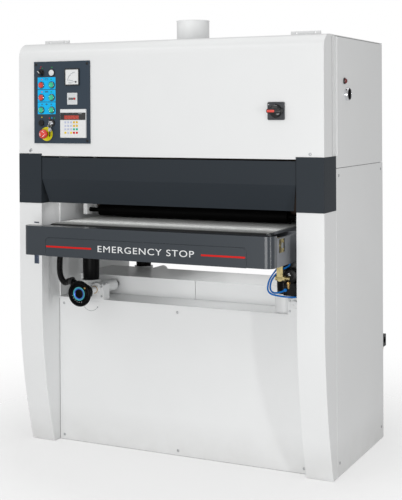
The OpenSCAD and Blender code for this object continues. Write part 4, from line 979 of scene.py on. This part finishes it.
class SANDER_OT_meters(bpy.types.Operator):
    """Ammeter, hour meter and thickness controller"""

    bl_idname = "sander.meters"
    bl_label = "Meters"

    def execute(self, context):
        s, (lo, hi) = sizes(), span("panel_meters")
        at = np.array([(lo[0] + hi[0]) / 2, panel_face(), hi[2] - AMMETER])
        meter = Shape()
        meter.slab(
            FRONT, at, (AMMETER, AMMETER), 3, [
                (0, 0), (0, 5), (1.2, 6), (3.6, 6), (4.4, 5.2), (4.4, 4)
            ], "gloss"
        )
        meter.block(FRONT, at, (31.4, 31.4), 1.5, 3.8, 4.6, "white_print")
        pivot = at + [20, 0, -21]
        for i, turn in enumerate(np.linspace(*DIAL_ARC, 13)):
            long = 5 if i % 3 == 0 else 3
            seat, ray = turned_seat(turn)
            meter.block(
                seat, pivot + (ray * (42 - long / 2)) @ FRONT, (long / 2, 0.35), 0.1, 4.5, 4.8, "dark_print"
            )
        meter.plate(FRONT, pivot, arc_band(*DIAL_ARC, 40, 42.8, 42.1), 4.5, 4.8, "dark_print")
        seat, ray = turned_seat(NEEDLE)
        meter.block(seat, pivot + (ray * 19) @ FRONT, (19, 0.5), 0.2, 4.8, 5.2, "dark_print")
        meter.turned(FRONT, pivot, [(4, 4.4), (4, 5.6), (3.4, 6), (0.5, 6)], "gloss", 28)
        meter.block(FRONT, at + [-6, 0, -22], (13, 0.7), 0.2, 4.5, 4.8, "grey_print")
        meter.block(FRONT, at + [-9, 0, -26], (8, 0.7), 0.2, 4.5, 4.8, "grey_print")
        made = meter.piece("ammeter", "machine", "meter_plastic")
        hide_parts("panel_meters")

        hours, at = Shape(), np.array([at[0], panel_face(), lo[2] + HOURS])
        hours.slab(FRONT, at, (HOURS, HOURS), 2.5, [(0, 0), (0, 2.8), (1.4, 4)], "ivory")
        for z in (18, 12.5, 7, -7, -12.5, -18):
            hours.slab(FRONT, at + [0, 0, z], (20, 0.8), 0.4, [(0, 3.6), (0.3, 4.4)], "ivory")
        hours.slab(FRONT, at, (17.5, 4.6), 1, [(0, 3.6), (0.3, 4.5)], "gloss")
        hours.block(FRONT, at + [12.5, 0, 0], (3.6, 3.8), 0.6, 4, 4.7, "red_print")
        numerals(hours, FRONT, at + [-13, 0, 0], "00742", 1.5, 2.6, 5, 4.4, 4.7, "white_print")
        hours.piece("hour_meter", "machine", "meter_plastic")

        lo, hi = span("thickness_controller")
        at = np.array([(lo[0] + hi[0]) / 2, panel_face(), hi[2]])
        case, w = Shape(), (hi[0] - lo[0]) / 2
        case.slab(FRONT, at + [0, 0, -61], (w, 61), 3, [(0, 0), (0, 4.6), (1.4, 6)], "ivory")
        case.slab(FRONT, at + [0, 0, -7.6], (w - 1.6, 6.6), 1, [(0, 5.4), (0.3, 6.3)], "white_print")
        case.slab(FRONT, at + [0, 0, -30.6], (w - 1.4, 15.6), 1, [(0, 5.4), (0.3, 6.4)], "gloss")
        case.slab(FRONT, at + [-6.6, 0, -35], (37, 8.6), 0.8, [(0, 6), (0.3, 6.8)], "display")
        numerals(case, FRONT, at + [-32, 0, -35], "00254", 3.4, 5.4, 12.6, 6.6, 7, "digit")
        case.block(FRONT, at + [11, 0, -40.2], (0.7, 0.7), 0.3, 6.6, 7, "digit")
        case.block(FRONT, at + [36, 0, -19.4], (9, 1.6), 0.4, 6, 6.7, "grey_print")
        case.slab(FRONT, at + [0, 0, -84], (w - 1.8, 36.6), 1.5, [(0, 5.4), (0.3, 6.3)], "white_print")
        made = case.piece("controller_case", "machine", "meter_plastic")
        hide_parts("thickness_controller")

        keys, pitch = Shape(), s.key_pitch
        for row, tones in enumerate(KEY_TONES):
            for col, tone in enumerate(tones):
                spot = at + [-37 + col * pitch, 0, -56 - row * pitch * 1.03]
                levels = [(0, 6), (0, 6.8), (0.6, 7.2)]
                keys.slab(FRONT, spot, (4.8, 4.3), 1.2, levels, KEY_PRINTS[tone])
        for i, number in enumerate("789456123"):
            spot = at + [-37 + i % 3 * pitch, 0, -56 - i // 3 * pitch * 1.03]
            numerals(keys, FRONT, spot, number, 1.2, 1.9, 0, 7, 7.4, "grey_print")
        keys.piece("controller_keys", "machine", "meter_plastic")
        return {"FINISHED"}


class SANDER_OT_door_fittings(bpy.types.Operator):
    """Lamp, chrome ring and lever on the belt-change door"""

    bl_idname = "sander.door_fittings"
    bl_label = "Door fittings"

    def execute(self, context):
        s, side = sizes(), span("casing_panels")[1][0]
        at = middle_at("tension_selector", 0, side)
        ring = Shape()
        ring.turned(
            RIGHT, at,
            [(26.6, 0), (26.6, 11), (25.6, 13.2), (24, 14), (22.8, 13.2), (22.6, 9), (9.4, 9), (9.4, 0)],
            "chrome", 64, True,
        )
        ring.piece("selector_ring", "door", "chrome")

        lever = Shape()
        lever.turned(
            RIGHT, at, [(8.9, -6), (8.9, 9.4), (22, 9.4), (22, 12), (20.6, 13.2), (0.5, 13.2)], "wheel", 56
        )
        lever.slab(RIGHT, at, (6.4, 20), 6, [(0, 12.6), (0, 16), (1, 17.4), (2.6, 18)], "wheel")
        lever.block(RIGHT, at + [0, 0, 12], (0.7, 5), 0.3, 17.5, 18, "grey_print")
        made = lever.piece("selector_lever", "belt_tension_knob", "black_plastic")
        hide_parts("tension_selector")

        lamp = Shape()
        at = np.array([side, span("control_panel")[1][1] + s.lamp_y, at[2] + s.lamp_rise])
        r = s.lamp_r
        lamp.turned(
            RIGHT, at, [(r, 0), (r, 4), (r - 1, 5.2), (r - 2.4, 5.2), (r - 2.4, 0)], "gloss", 40, True
        )
        dome = np.linspace(0, 1.55, 14)
        dome = np.stack([(r - 2.4) * np.cos(dome), 4.6 + 8.4 * np.sin(dome)], -1)
        lamp.turned(RIGHT, at, np.concatenate([[[r - 2.4, 0]], dome]), "red_lens")
        lamp.piece("door_lamp", "door", "red_plastic")
        return {"FINISHED"}


# Inner ends of the two stripes on the stop bar
STRIPE_ENDS = (-237, 257)
# Half length of the stop bar's legend and its shift to the right, in metres
LEGEND_HALF, LEGEND_SHIFT = 0.218, 0.009
# Height of a capital letter as a share of the font's size
CAPITAL_SHARE = 0.69


class SANDER_OT_stop_bar(bpy.types.Operator):
    """Push plate of the stop bar with its stripes and legend"""

    bl_idname = "sander.stop_bar"
    bl_label = "Stop bar plate"

    def execute(self, context):
        s, (lo, hi) = sizes(), span("estop_push_plate")
        bar = span("front_bar")
        face = Shape()
        at = np.array([0, lo[1] + 4, (lo[2] + hi[2]) / 2])
        half, corner = np.array([hi[0] - lo[0], hi[2] - lo[2]]) / 2, s.corner_r
        outline = rounded(*half + 1.2, 1.5)
        arc = rounded(*half + 1.2, corner)
        outline = np.where(arc[:, 1:] > 0, arc, outline)
        mid = at + [(lo[0] + hi[0]) / 2, 0, 0]
        face.plate(FRONT, mid, outline, 0, 4 - s.inlay, "bar")
        for side in (-1, 1):
            face.turned(FRONT, [side * (lo[0] + 155), bar[1][1] + 1, at[2]], [(5, 0), (5, 46)], "steel", 24)
        for x0, x1 in ((lo[0] + 1, STRIPE_ENDS[0]), (STRIPE_ENDS[1], hi[0] - 3)):
            spot = at + [(x0 + x1) / 2, 0, 2]
            face.block(FRONT, spot, ((x1 - x0) / 2, s.stripe_h / 2), 0.5, 3, 4, "red_print")
        made = face.piece("stop_push_plate", "push_plate", "dark_grey_paint")
        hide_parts("estop_push_plate")

        fill = Shape()
        turn = np.linspace(0, 90, 13)
        for side in (-1, 1):
            curve = (half + 1.6 - corner + corner * rays(turn)) * [side, 1]
            tip = np.array([[side * (half[0] + 2), half[1] + 2]])
            fill.plate(FRONT, mid, np.concatenate([curve, tip]), -1, 4, "bar")
        fill.piece("stop_bar_corners", "table", "dark_grey_paint")

        font = bpy.data.curves.new("stop_legend", "FONT")
        font.body, font.size = "EMERGENCY STOP", s.letter_h / 1000 / CAPITAL_SHARE
        font.align_x, font.align_y = "CENTER", "CENTER"
        font.extrude, font.space_character = s.inlay / 2000, 1.12
        holder = bpy.data.objects.new("stop_legend_curve", font)
        context.scene.collection.objects.link(holder)
        context.view_layer.update()
        mesh = bpy.data.meshes.new_from_object(holder.evaluated_get(context.evaluated_depsgraph_get()))
        bpy.data.objects.remove(holder)
        bpy.data.curves.remove(font)
        points = points_of(mesh).astype(float)
        points[:, 0] *= LEGEND_HALF / max(points[:, 0].max(), 1e-6)
        points = (points + [LEGEND_SHIFT, 0, 0]) @ FRONT + (at + [0, -4 + s.inlay / 2, 2]) / 1000
        mesh.vertices.foreach_set("co", points.astype(np.float32).ravel())
        mesh.materials.clear()
        mesh.materials.append(LOOKS["white_print"])
        mesh.update()
        legend = bpy.data.objects.new("stop_bar_legend", mesh)
        context.scene.collection.objects.link(legend)
        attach(legend, "push_plate")
        return {"FINISHED"}


class SANDER_OT_conveyor(bpy.types.Operator):
    """Smooth feed belt, take-up screws and their lock nuts"""

    bl_idname = "sander.conveyor"
    bl_label = "Conveyor"

    def execute(self, context):
        lo, hi = span("feed_belt")
        _, front, z = middle("feed_idler_roller")
        rear = middle("feed_drive_roller")[1]
        outer, t = hi[2] - z, 4.0
        turn = np.concatenate([np.linspace(0.5, 1.5, 49) * np.pi, np.linspace(-0.5, 0.5, 49) * np.pi])
        y = np.repeat([front, rear], 49)
        out = np.stack([np.zeros(98), np.cos(turn), np.sin(turn)], -1)
        core = np.stack([np.zeros(98), y, np.full(98, z)], -1) + out * (outer - t)
        edge = np.array(
            [[lo[0], 0], [lo[0], t - 1.2], [lo[0] + 1.2, t], [hi[0] - 1.2, t], [hi[0], t - 1.2], [hi[0], 0]]
        )
        rings = core[:, None] + out[:, None] * edge[None, :, 1:] + np.array([1.0, 0, 0]) * edge[None, :, :1]
        belt = Shape()
        belt.grid(rings, "belt", loop=True)
        made = belt.piece("rough_top_belt", "table", "grey_rubber")
        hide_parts("feed_belt")

        screws = Shape()
        lo, hi = span("take_up_blocks")
        thread = np.stack([np.where(np.arange(22) % 2 == 0, 4.6, 3.8), np.linspace(0, 1, 22) * 12.4], -1)
        for side, seat in ((-1, LEFT), (1, RIGHT)):
            at = np.array([side * (hi[0] - 6), front - 21.5, z])
            screws.turned(FRONT, at, thread, "zinc", 20)
            screws.plate(FRONT, at, circle(6, 6), 0.2, 5, "zinc")
            for dz in (-15, 15):
                screws.turned(
                    seat, [side * hi[0], front + 8, z + dz], [(5, -1), (5, 0.6), (4, 1.6), (0.5, 1.8)],
                    "zinc", 24
                )
            # Thin black slabs beside each take-up block: painted shade of the slot in the table's side plate
            for y, half in ((front - 17, 3.6), (front + 15.5, 5)):
                screws.block(seat, [side * hi[0], y, z], (half, 25), 0.5, -1, 0.3, "wheel")
        screws.piece("take_up_screws", "table", "zinc_plate")
        return {"FINISHED"}


# A gearbox's screw axis to its front face and to its rear face
GEAR_FRONT, GEAR_REAR = 88, 70
# Route of the conduit across and up, as shares of the way from its first to its last point
CONDUIT = np.array([
    (0, 0), (0, 0.12), (-0.04, 0.26), (-0.07, 0.4), (-0.08, 0.55), (-0.07, 0.68), (-0.02, 0.8), (0.08, 0.9),
    (0.21, 0.98), (0.36, 1.035), (0.51, 1.06), (0.66, 1.05), (0.79, 1.02), (0.9, 1), (1, 1)])


class SANDER_OT_lift(bpy.types.Operator):
    """Handwheel with its dial, screw boots, gearbox fittings, cable conduit and lift counter"""

    bl_idname = "sander.lift"
    bl_label = "Table lift"

    def execute(self, context):
        s, (lo, hi) = sizes(), span("handwheel")
        x, _, z = middle("handwheel")
        back = lo[1] + 30
        wheel, at = Shape(), np.array([x, back, z])
        r, r0 = s.dial_r, s.dial_in_r
        wheel.turned(
            FRONT, at,
            [(11, 0), (28, 0), (33, 6), (42, 12), (50, 15.5), (54, 18), (55, 21), (54.6, 24.4), (53, 27),
             (50, 29.2), (46.6, 30), (43.6, 29.2), (41.6, 26.6), (40.4, 23.6), (37, 22.4), (33, 22.6),
             (r + 1, 24), (r + 0.6, 28), (
                 r - 0.6, 28.8
             ), (r - 1.2, 28), (r - 1.2, 27), (0.5, 27)], "wheel", 72,
        )
        wheel.turned(
            FRONT, at, [
                (r - 1.2, 26.6), (r - 1.2, 27.8), (r0 + 0.6, 27.4), (r0, 27), (r0, 26.6)
            ], "dial", 72, True
        )
        wheel.turned(FRONT, at, [(r0, 26.4), (r0, 27.2), (r0 - 1, 27.7), (0.5, 27.9)], "wheel", 60)
        wheel.turned(
            FRONT, at + [26, 0, 25], [(4.4, 22), (4.4, 24.4), (3.4, 25.2), (0.5, 25.2)], "brass", 28
        )
        for turn in range(196, 290, 18):
            seat, ray = turned_seat(turn)
            wheel.block(seat, at + (ray * 36.4) @ FRONT, (2, 0.6), 0.2, 22, 22.9, "white_print")
        wheel.turned(FRONT, [x, hi[1], z], [(10, 0), (10, hi[1] - back)], "steel", 32)
        wheel.turned(FRONT, [x, middle("lift_chain")[1] + 6, z], [(25, 0), (25, 12)], "steel", 40)
        made = wheel.piece("lift_handwheel", "left_shaft", "black_plastic")
        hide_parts("handwheel")

        boots = Shape()
        lo, hi = span("screw_boots")
        reach = hi[0] - span("jack_screws")[1][0] + 16
        step = np.linspace(0, 1, 41)
        h = hi[2] - lo[2]
        swell = 5 * np.clip(np.sin(np.pi * (0.16 + 0.74 * step)), 0, 1) ** 0.6 + 0.25 * np.cos(step * 75)
        outer = np.stack([reach - 5.5 + swell, step * h], -1)
        inner = np.stack([np.full(41, reach - 8), step[::-1] * h], -1)
        profile = np.concatenate([outer, inner])
        for px in (lo[0] + reach, hi[0] - reach):
            for py in (lo[1] + reach, hi[1] - reach):
                boots.turned(UP, [px, py, lo[2]], profile, "boot", 48, True)
        made = boots.piece("screw_boot_sleeves", None, "black_rubber")
        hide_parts("screw_boots")
        lo[2] / 1000
        hi[2] / 1000
        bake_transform(made)

        fittings = Shape()
        lo, hi = span("jack_gearboxes")
        top = lo[2] + 64
        right = middle("right_lift_shaft")[0]
        for bx, by in (
            (x, lo[1] + GEAR_FRONT), (right, lo[1] + GEAR_FRONT), (x, hi[1] - GEAR_REAR),
            (right, hi[1] - GEAR_REAR)
        ):
            for dx in (-24, 24):
                for dy in (-60, -32):
                    fittings.turned(
                        UP, [bx + dx, by + dy, top], [
                            (6, 0), (6, 5), (5.4, 5.6), (3.2, 5.6), (3, 3), (0.5, 3)
                        ], "steel", 24
                    )
            if bx < 0:
                ring = [(16.8, -1), (16.8, 1.4), (16, 2), (14.8, 2), (14.2, 1.4), (14.2, -1)]
                fittings.turned(FRONT, [bx, by - GEAR_FRONT, z], ring, "brass", 40, True)
            else:
                fittings.turned(
                    FRONT, [bx, by - GEAR_FRONT, z],
                    [(16.8, 0.2), (16.8, 3), (15.4, 4.6), (3, 4.6), (2.4, 3), (0.5, 3)], "white", 40
                )
            for dx in (-26, 26):
                for dz in (-30, 12):
                    fittings.turned(
                        FRONT, [bx + dx, by - 70, z + dz], [(4.5, 0), (4.5, 3), (3.6, 3.8), (0.5, 3.8)],
                        "steel", 20
                    )
            for turn in np.radians([15, 105, 195, 285]):
                spot = [bx - 70 + 40 * np.cos(turn), by + 40 * np.sin(turn), lo[2] + 68]
                fittings.turned(UP, spot, [(3.6, 0), (3.6, 7), (0.5, 7.4)], "steel", 20)
        fittings.piece("gearbox_fittings", "machine", "bright_steel")

        route = Shape()
        lo, hi = span("lift_conduit")
        a = np.array([hi[0] - 47, middle("lift_conduit")[1], hi[2]])
        b = np.array([hi[0], a[1], z + 43])
        path = a + np.insert(CONDUIT, 1, 0, 1) * (b - a)
        route.tube(curve_through(path, 10), s.conduit_r, "conduit", 24)
        made = route.piece("cable_conduit", None, "black_rubber")
        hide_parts("lift_conduit")
        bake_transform(made)

        r = s.conduit_r + 0.3
        gland = Shape()
        gland.turned(
            LEFT, b + [17, 0, 0], [
                (r, 0), (r + 6, 0), (r + 6, 7), (r + 4, 8), (r + 3.4, 12), (r + 2, 16.4), (r, 17)
            ],
            "black", 12, True,
        )
        gland.piece("conduit_gland", "machine", "black_plastic")
        gland = Shape()
        gland.turned(
            UP, a - [0, 0, 20], [
                (r, 0), (r + 2.6, 0.6), (r + 3.6, 3), (r + 3.6, 13), (r + 5, 14), (r + 5, 19.6), (r, 19.6)
            ],
            "black", 12, True,
        )
        gland.piece("conduit_upper_gland", "table", "black_plastic")

        counter = Shape()
        neck, rear = span("lift_encoder")[1][1], b[1] + 17
        counter.turned(
            FRONT, [x, rear, z], [(12, 0), (28, 0), (30, 2), (30, 32), (28, 34), (12, 34)], "wheel", 56,
            True
        )
        counter.turned(
            FRONT, [x, neck, z], [(12, 0), (14, 0), (14, neck - rear), (12, neck - rear)], "white", 40, True
        )
        elbow = b + np.array(
            [(0.3, 0, 0), (10, 0, -0.5), (20, 0, -4), (30, 0, -11), (38, 0, -20), (45, 0, -31)]
        )
        counter.tube(curve_through(elbow, 5), 14, "wheel", 28)
        made = counter.piece("lift_counter", "machine", "black_plastic")
        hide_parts("lift_encoder")
        return {"FINISHED"}


# Routes of the air tubes, as shares of each tube's reach from the table's underside
UPPER_TUBE = np.array([
    (1.64, 0, 0), (1.64, 0, 0.05), (1.43, 0, 0.11), (0.87, 0, 0.186), (0.14, 0, 0.297), (-0.31, 0, 0.398),
    (-0.62, 0.05, 0.5), (-0.87, 0.15, 0.61), (-1, 0.3, 0.729), (-1, 0.5, 0.847), (-0.87, 0.7, 0.932),
    (-0.62, 0.85, 0.983), (-0.27, 0.95, 1), (0.2, 1, 0.983), (0.74, 1, 0.94), (1.14, 1, 0.89)])
LOWER_TUBE = np.array([
    (0.3, 0, 0), (0.3, 0, 0.04), (0.1, 0, 0.114), (-0.18, 0, 0.206), (
        -0.49, 0.1, 0.305
    ), (-0.78, 0.3, 0.411),
    (-1, 0.55, 0.533), (-1.11, 0.75, 0.663), (-1.09, 0.9, 0.777), (-0.91, 1, 0.86), (-0.6, 1, 0.914),
    (-0.18, 0.95, 0.944), (0.47, 0.85, 0.967), (1.2, 0.6, 0.99), (1.9, 0.3, 1), (2.6, 0.1, 1)])


class SANDER_OT_air(bpy.types.Operator):
    """Air valve with its bracket, bolt and muffler, and the blue tubes"""

    bl_idname = "sander.air"
    bl_label = "Air fittings"

    def execute(self, context):
        lo, hi = span("air_valve")
        x, front, z = hi[0] - 30, lo[1] + 7, hi[2] - 49
        back, low = hi[1], lo[2]
        valve = Shape()
        valve.turned(
            FRONT, [x, back, z],
            [(27, 0), (30, 2), (30, 42), (28.4, 43), (28.4, 46), (30, 47), (30, 61), (28.4, 64.4), (25, 66),
             (12, 66), (11, 65), (0.5, 65)], "valve", 56,
        )
        valve.slab(FRONT, [x, back, low + 26], (30, 26), 4, [(1.5, 0), (0, 2), (0, 63), (2.4, 66)], "valve")
        valve.block(UP, [x, back - 16.5, z - 30], (15, 16.5), 2, 0, hi[2] - z + 30, "black")
        for dx in (-22, 22):
            for dz in (8, 44):
                valve.turned(
                    FRONT, [x + dx, front, low + dz],
                    [(4, -1), (4, 0), (3.4, 0), (2, 0), (1.8, -0.8), (0.5, -0.8)], "steel", 20
                )
        valve.block(FRONT, [x - 6, back, z + 8], (5, 1.3), 0.5, 65, 66, "white_print")
        valve.block(FRONT, [x - 2, back, z + 3], (4, 1.3), 0.5, 65, 66, "white_print")
        made = valve.piece("air_valve_body", "table", "black_plastic")
        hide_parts("air_valve")

        bracket = Shape()
        bx, by, z = lo[0] + 13, front - 3, z - 10
        outline = np.concatenate([[[13, 59], [-13, 59]], circle(13, 25, np.pi)[:13]])
        bracket.plate(FRONT, [bx, by, z], outline, -3, 3, "zinc")
        bracket.block(UP, [bx, by + 18, hi[2] - 4], (13, 21), 1, 0, 4, "zinc")
        bracket.turned(RIGHT, [bx - 13, by + 3, z], [(7, 0), (7, 54)], "zinc", 28)
        bracket.plate(RIGHT, [bx + 13, by + 3, z], circle(11.5, 6, np.pi / 6), 0, 9, "zinc")
        bracket.turned(RIGHT, [bx + 22, by + 3, z], [(12.5, 0), (12.5, 2.4), (7, 2.4)], "zinc", 32)
        bracket.plate(LEFT, [bx - 12.6, by + 3, z], circle(10.5, 6, np.pi / 6), 0, 6, "zinc")
        bracket.piece("valve_bracket", "table", "zinc_plate")

        muffler = Shape()
        spot = np.array([x - 6, front - 0.5, low + 28])
        muffler.plate(UP, spot, circle(7.4, 6), 20, 27, "brass")
        muffler.turned(UP, spot, [(2, 0), (4.4, 0.6), (5, 2), (6, 18), (6.4, 20.4)], "brass", 28)
        muffler.piece("air_muffler", "table", "zinc_plate")

        top = np.array([lo[0], front + 9, hi[2]])
        fore = front - 3.8 - top[1]
        for name, shares, reach in (
            ("upper", UPPER_TUBE, (30, fore, -118)), (
                "lower", LOWER_TUBE, (30, fore - 16, low - 3.8 - hi[2])
            )
        ):
            tube = Shape()
            path = top + shares * reach
            tube.tube(curve_through(path, 8), 3.5, "tube", 18)
            if name == "upper":
                tube.turned(
                    FRONT, [path[-1][0] + 2, front, path[-1][2] + 1],
                    [(6.4, -1), (6.4, 8), (5.6, 8.8), (0.5, 8.8)], "tube", 24
                )
            made = tube.piece("blue_tube_" + name, "table", "blue_tube")
            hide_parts("air_tube_" + name)

        lo, hi = span("air_regulator")
        yc = (lo[1] + hi[1]) / 2
        elbow = Shape()
        elbow.turned(
            UP, [hi[0] - 14, yc, lo[2] + 5],
            [(5, 0), (7.6, 0.8), (7.6, 9), (8.6, 10), (8.6, 17), (7.2, 18), (7.2, 20.4)], "brass", 24
        )
        elbow.turned(
            RIGHT, [hi[0] - 15, yc, hi[2] - 24], [(15, 8), (15, 14), (13.6, 15), (0.5, 15)], "black", 32
        )
        elbow.piece("regulator_fittings", "machine", "zinc_plate")
        return {"FINISHED"}


# Side of the cells that sort the points of the panel screws
SCREW_CELL = 60.0
# Middle of the height scale, and the mark above it from the scale's lower end
SCALE_X, SCALE_MARK = -612.5, 178
# Angles between which the arrow on the plate under the handwheel runs, in degrees
ARROW = (215, 325)


class SANDER_OT_casing_details(bpy.types.Operator):
    """Panel screws, dust port bead, edge strips, height scale and the round plate under the handwheel"""

    bl_idname = "sander.casing_details"
    bl_label = "Casing details"

    def execute(self, context):
        s, heads = sizes(), Shape()
        head = [(6, 0), (5.8, 0.9), (5, 1.6), (3.4, 2), (2.5, 2), (2.3, 1), (0.4, 1)]
        points = points_of(frame["nodes"]["panel_screws"].data) * 1000.0
        cells = np.unique(np.round(points / SCREW_CELL).astype(int), axis=0)
        spots = []
        for cell in cells:
            near = points[(np.abs(points - cell * SCREW_CELL) < 40).all(1)]
            group = near[np.linalg.norm(near - near[0], axis=1) < 14]
            lo, hi = group.min(0), group.max(0)
            if not any(np.linalg.norm((lo + hi) / 2 - at) < 4 for at, _, _ in spots):
                spots.append(((lo + hi) / 2, lo, hi))
        for at, lo, hi in spots:
            if hi[1] - lo[1] < 4:
                tone = "black" if hi[1] < panel_face() + 1 else "steel"
                heads.turned(FRONT, [at[0], hi[1], at[2]], head, tone, 24)
            elif at[0] > 0:
                heads.turned(RIGHT, [lo[0], at[1], at[2]], head, "steel", 24)
            else:
                heads.turned(LEFT, [hi[0], at[1], at[2]], head, "steel", 24)
        made = heads.piece("panel_screw_heads", "machine", "bright_steel")
        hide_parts("panel_screws")

        bead = Shape()
        lo, hi = span("dust_port")
        mid, b = (lo + hi) / 2, s.bead
        t = np.linspace(0, 2 * np.pi, 16, endpoint=False)
        r = (hi[0] - lo[0]) / 2 - 22
        bead.turned(
            UP, [mid[0], mid[1], hi[2] - b / 2], np.stack([r + b / 2 * np.cos(t), b / 2 * np.sin(t)], -1),
            "white", 72, True
        )
        foot = [(r + 22.4, -3), (r + 22.4, 0.2), (r + 21.4, 1), (r + 3, 1), (r + 0.2, 4), (r + 0.2, -3)]
        bead.turned(UP, [mid[0], mid[1], lo[2] + 6], foot, "white", 72, True)
        bead.piece("dust_port_bead", "machine", "white_paint")

        strips = Shape()
        front, wide = span("leg_covers")[1][1], span("casing_panels")[1][0]
        inner, low = -span("beam_caps")[0][0] - 114, span("beam_caps")[0][2]
        deck = span("deck_covers")[0][2] + 8
        for side in (-1, 1):
            strips.block(UP, [side * (inner - 2.5), front + 2, deck], (2.5, 2), 0.6, 0, low - deck, "white")
            strips.block(UP, [side * wide, front + 2, 8], (0.9, 2.4), 0.8, 0, low - 10, "white")
        high, top = span("beam_caps")[1][2] + 2, span("front_cover")[1][2] - 6
        strips.block(UP, [wide, span("front_cover")[1][1] + 9, high], (1.6, 3), 1.5, 0, top - high, "white")
        strips.piece("column_edge_strips", "machine", "white_paint")
        edge = Shape()
        edge.block(
            UP, [wide + 1, span("right_upper_door")[0][1] + 7, high], (4, 4), 3.6, 0, top - high, "white"
        )
        edge.piece("door_edge_bead", "door", "white_paint")

        scale = Shape()
        front, z0 = span("leg_covers")[0][1], s.scale_z
        x = SCALE_X
        scale.slab(
            FRONT, [x, front, z0 + s.scale_h / 2], (s.scale_w / 2, s.scale_h / 2), 2,
            [(0, 0), (0, 0.7), (0.3, 1)], "scale_print"
        )
        scale.slab(
            FRONT, [x, front, z0 + SCALE_MARK], (s.scale_w / 2, 2.6), 1, [(0, 0), (0, 0.7), (0.3, 1)],
            "scale_print"
        )
        for i, tick in enumerate(np.arange(5, s.scale_h - 4, 5)):
            wide = 9 if i % 10 == 9 else 6.5 if i % 5 == 4 else 4
            scale.block(
                FRONT, [x + s.scale_w / 2 - 1.5 - wide / 2, front, z0 + tick], (wide / 2, 0.5), 0.1, 0.8,
                1.2, "pale_print"
            )
            if i % 10 == 9:
                digits = str(10 * (1 + i // 10))
                numerals(
                    scale, FRONT, np.array([x - 8.5, front, z0 + tick]), digits, 1.8, 3, 5.4, 0.8, 1.2,
                    "pale_print"
                )
        scale.piece("height_scale", "machine", "black_plastic")

        plate = Shape()
        lo, hi = span("lower_front_panel")
        at = np.array([middle("handwheel")[0] - 32, lo[1], hi[2] - 4])
        r = s.wheel_plate_r
        t = np.linspace(-np.pi, 0, 49)
        plate.plate(FRONT, at, np.stack([r * np.cos(t), r * np.sin(t)], -1), 0, 1, "white")
        plate.plate(FRONT, at, arc_band(*ARROW, 40, r - 3, r - 4.6), 0.9, 1.2, "grey_print")
        tip = circle(4.5, 3, np.radians(ARROW[1]) + np.pi / 2) + rays(ARROW[1]) * (r - 3.8)
        plate.plate(FRONT, at, tip, 0.9, 1.2, "grey_print")
        plate.piece("wheel_plate", "machine", "white_paint")
        return {"FINISHED"}


class SANDER_PT_panel(bpy.types.Panel):
    """Lists the steps that dress the sander"""

    bl_label = "Wide Belt Sander"
    bl_idname = "SANDER_PT_panel"
    bl_space_type = "VIEW_3D"
    bl_region_type = "UI"
    bl_category = "Sander"

    def draw(self, context):
        for step in STEPS:
            self.layout.operator(step.bl_idname)


STEPS = (
    SANDER_OT_stage,
    SANDER_OT_looks,
    SANDER_OT_legends,
    SANDER_OT_bezels,
    SANDER_OT_switches,
    SANDER_OT_meters,
    SANDER_OT_door_fittings,
    SANDER_OT_stop_bar,
    SANDER_OT_conveyor,
    SANDER_OT_lift,
    SANDER_OT_air,
    SANDER_OT_casing_details,
)
CLASSES = (SanderSizes, SanderColours, *STEPS, SANDER_PT_panel)


def register():
    for cls in CLASSES:
        bpy.utils.register_class(cls)
    bpy.types.Scene.sander_sizes = PointerProperty(type=SanderSizes)
    bpy.types.Scene.sander_colours = PointerProperty(type=SanderColours)


def unregister():
    del bpy.types.Scene.sander_sizes
    del bpy.types.Scene.sander_colours
    for cls in reversed(CLASSES):
        bpy.utils.unregister_class(cls)


def main():
    register()
    for step in STEPS:
        group, name = step.bl_idname.split(".")
        getattr(getattr(bpy.ops, group), name)()


if __name__ == "__main__":
    main()
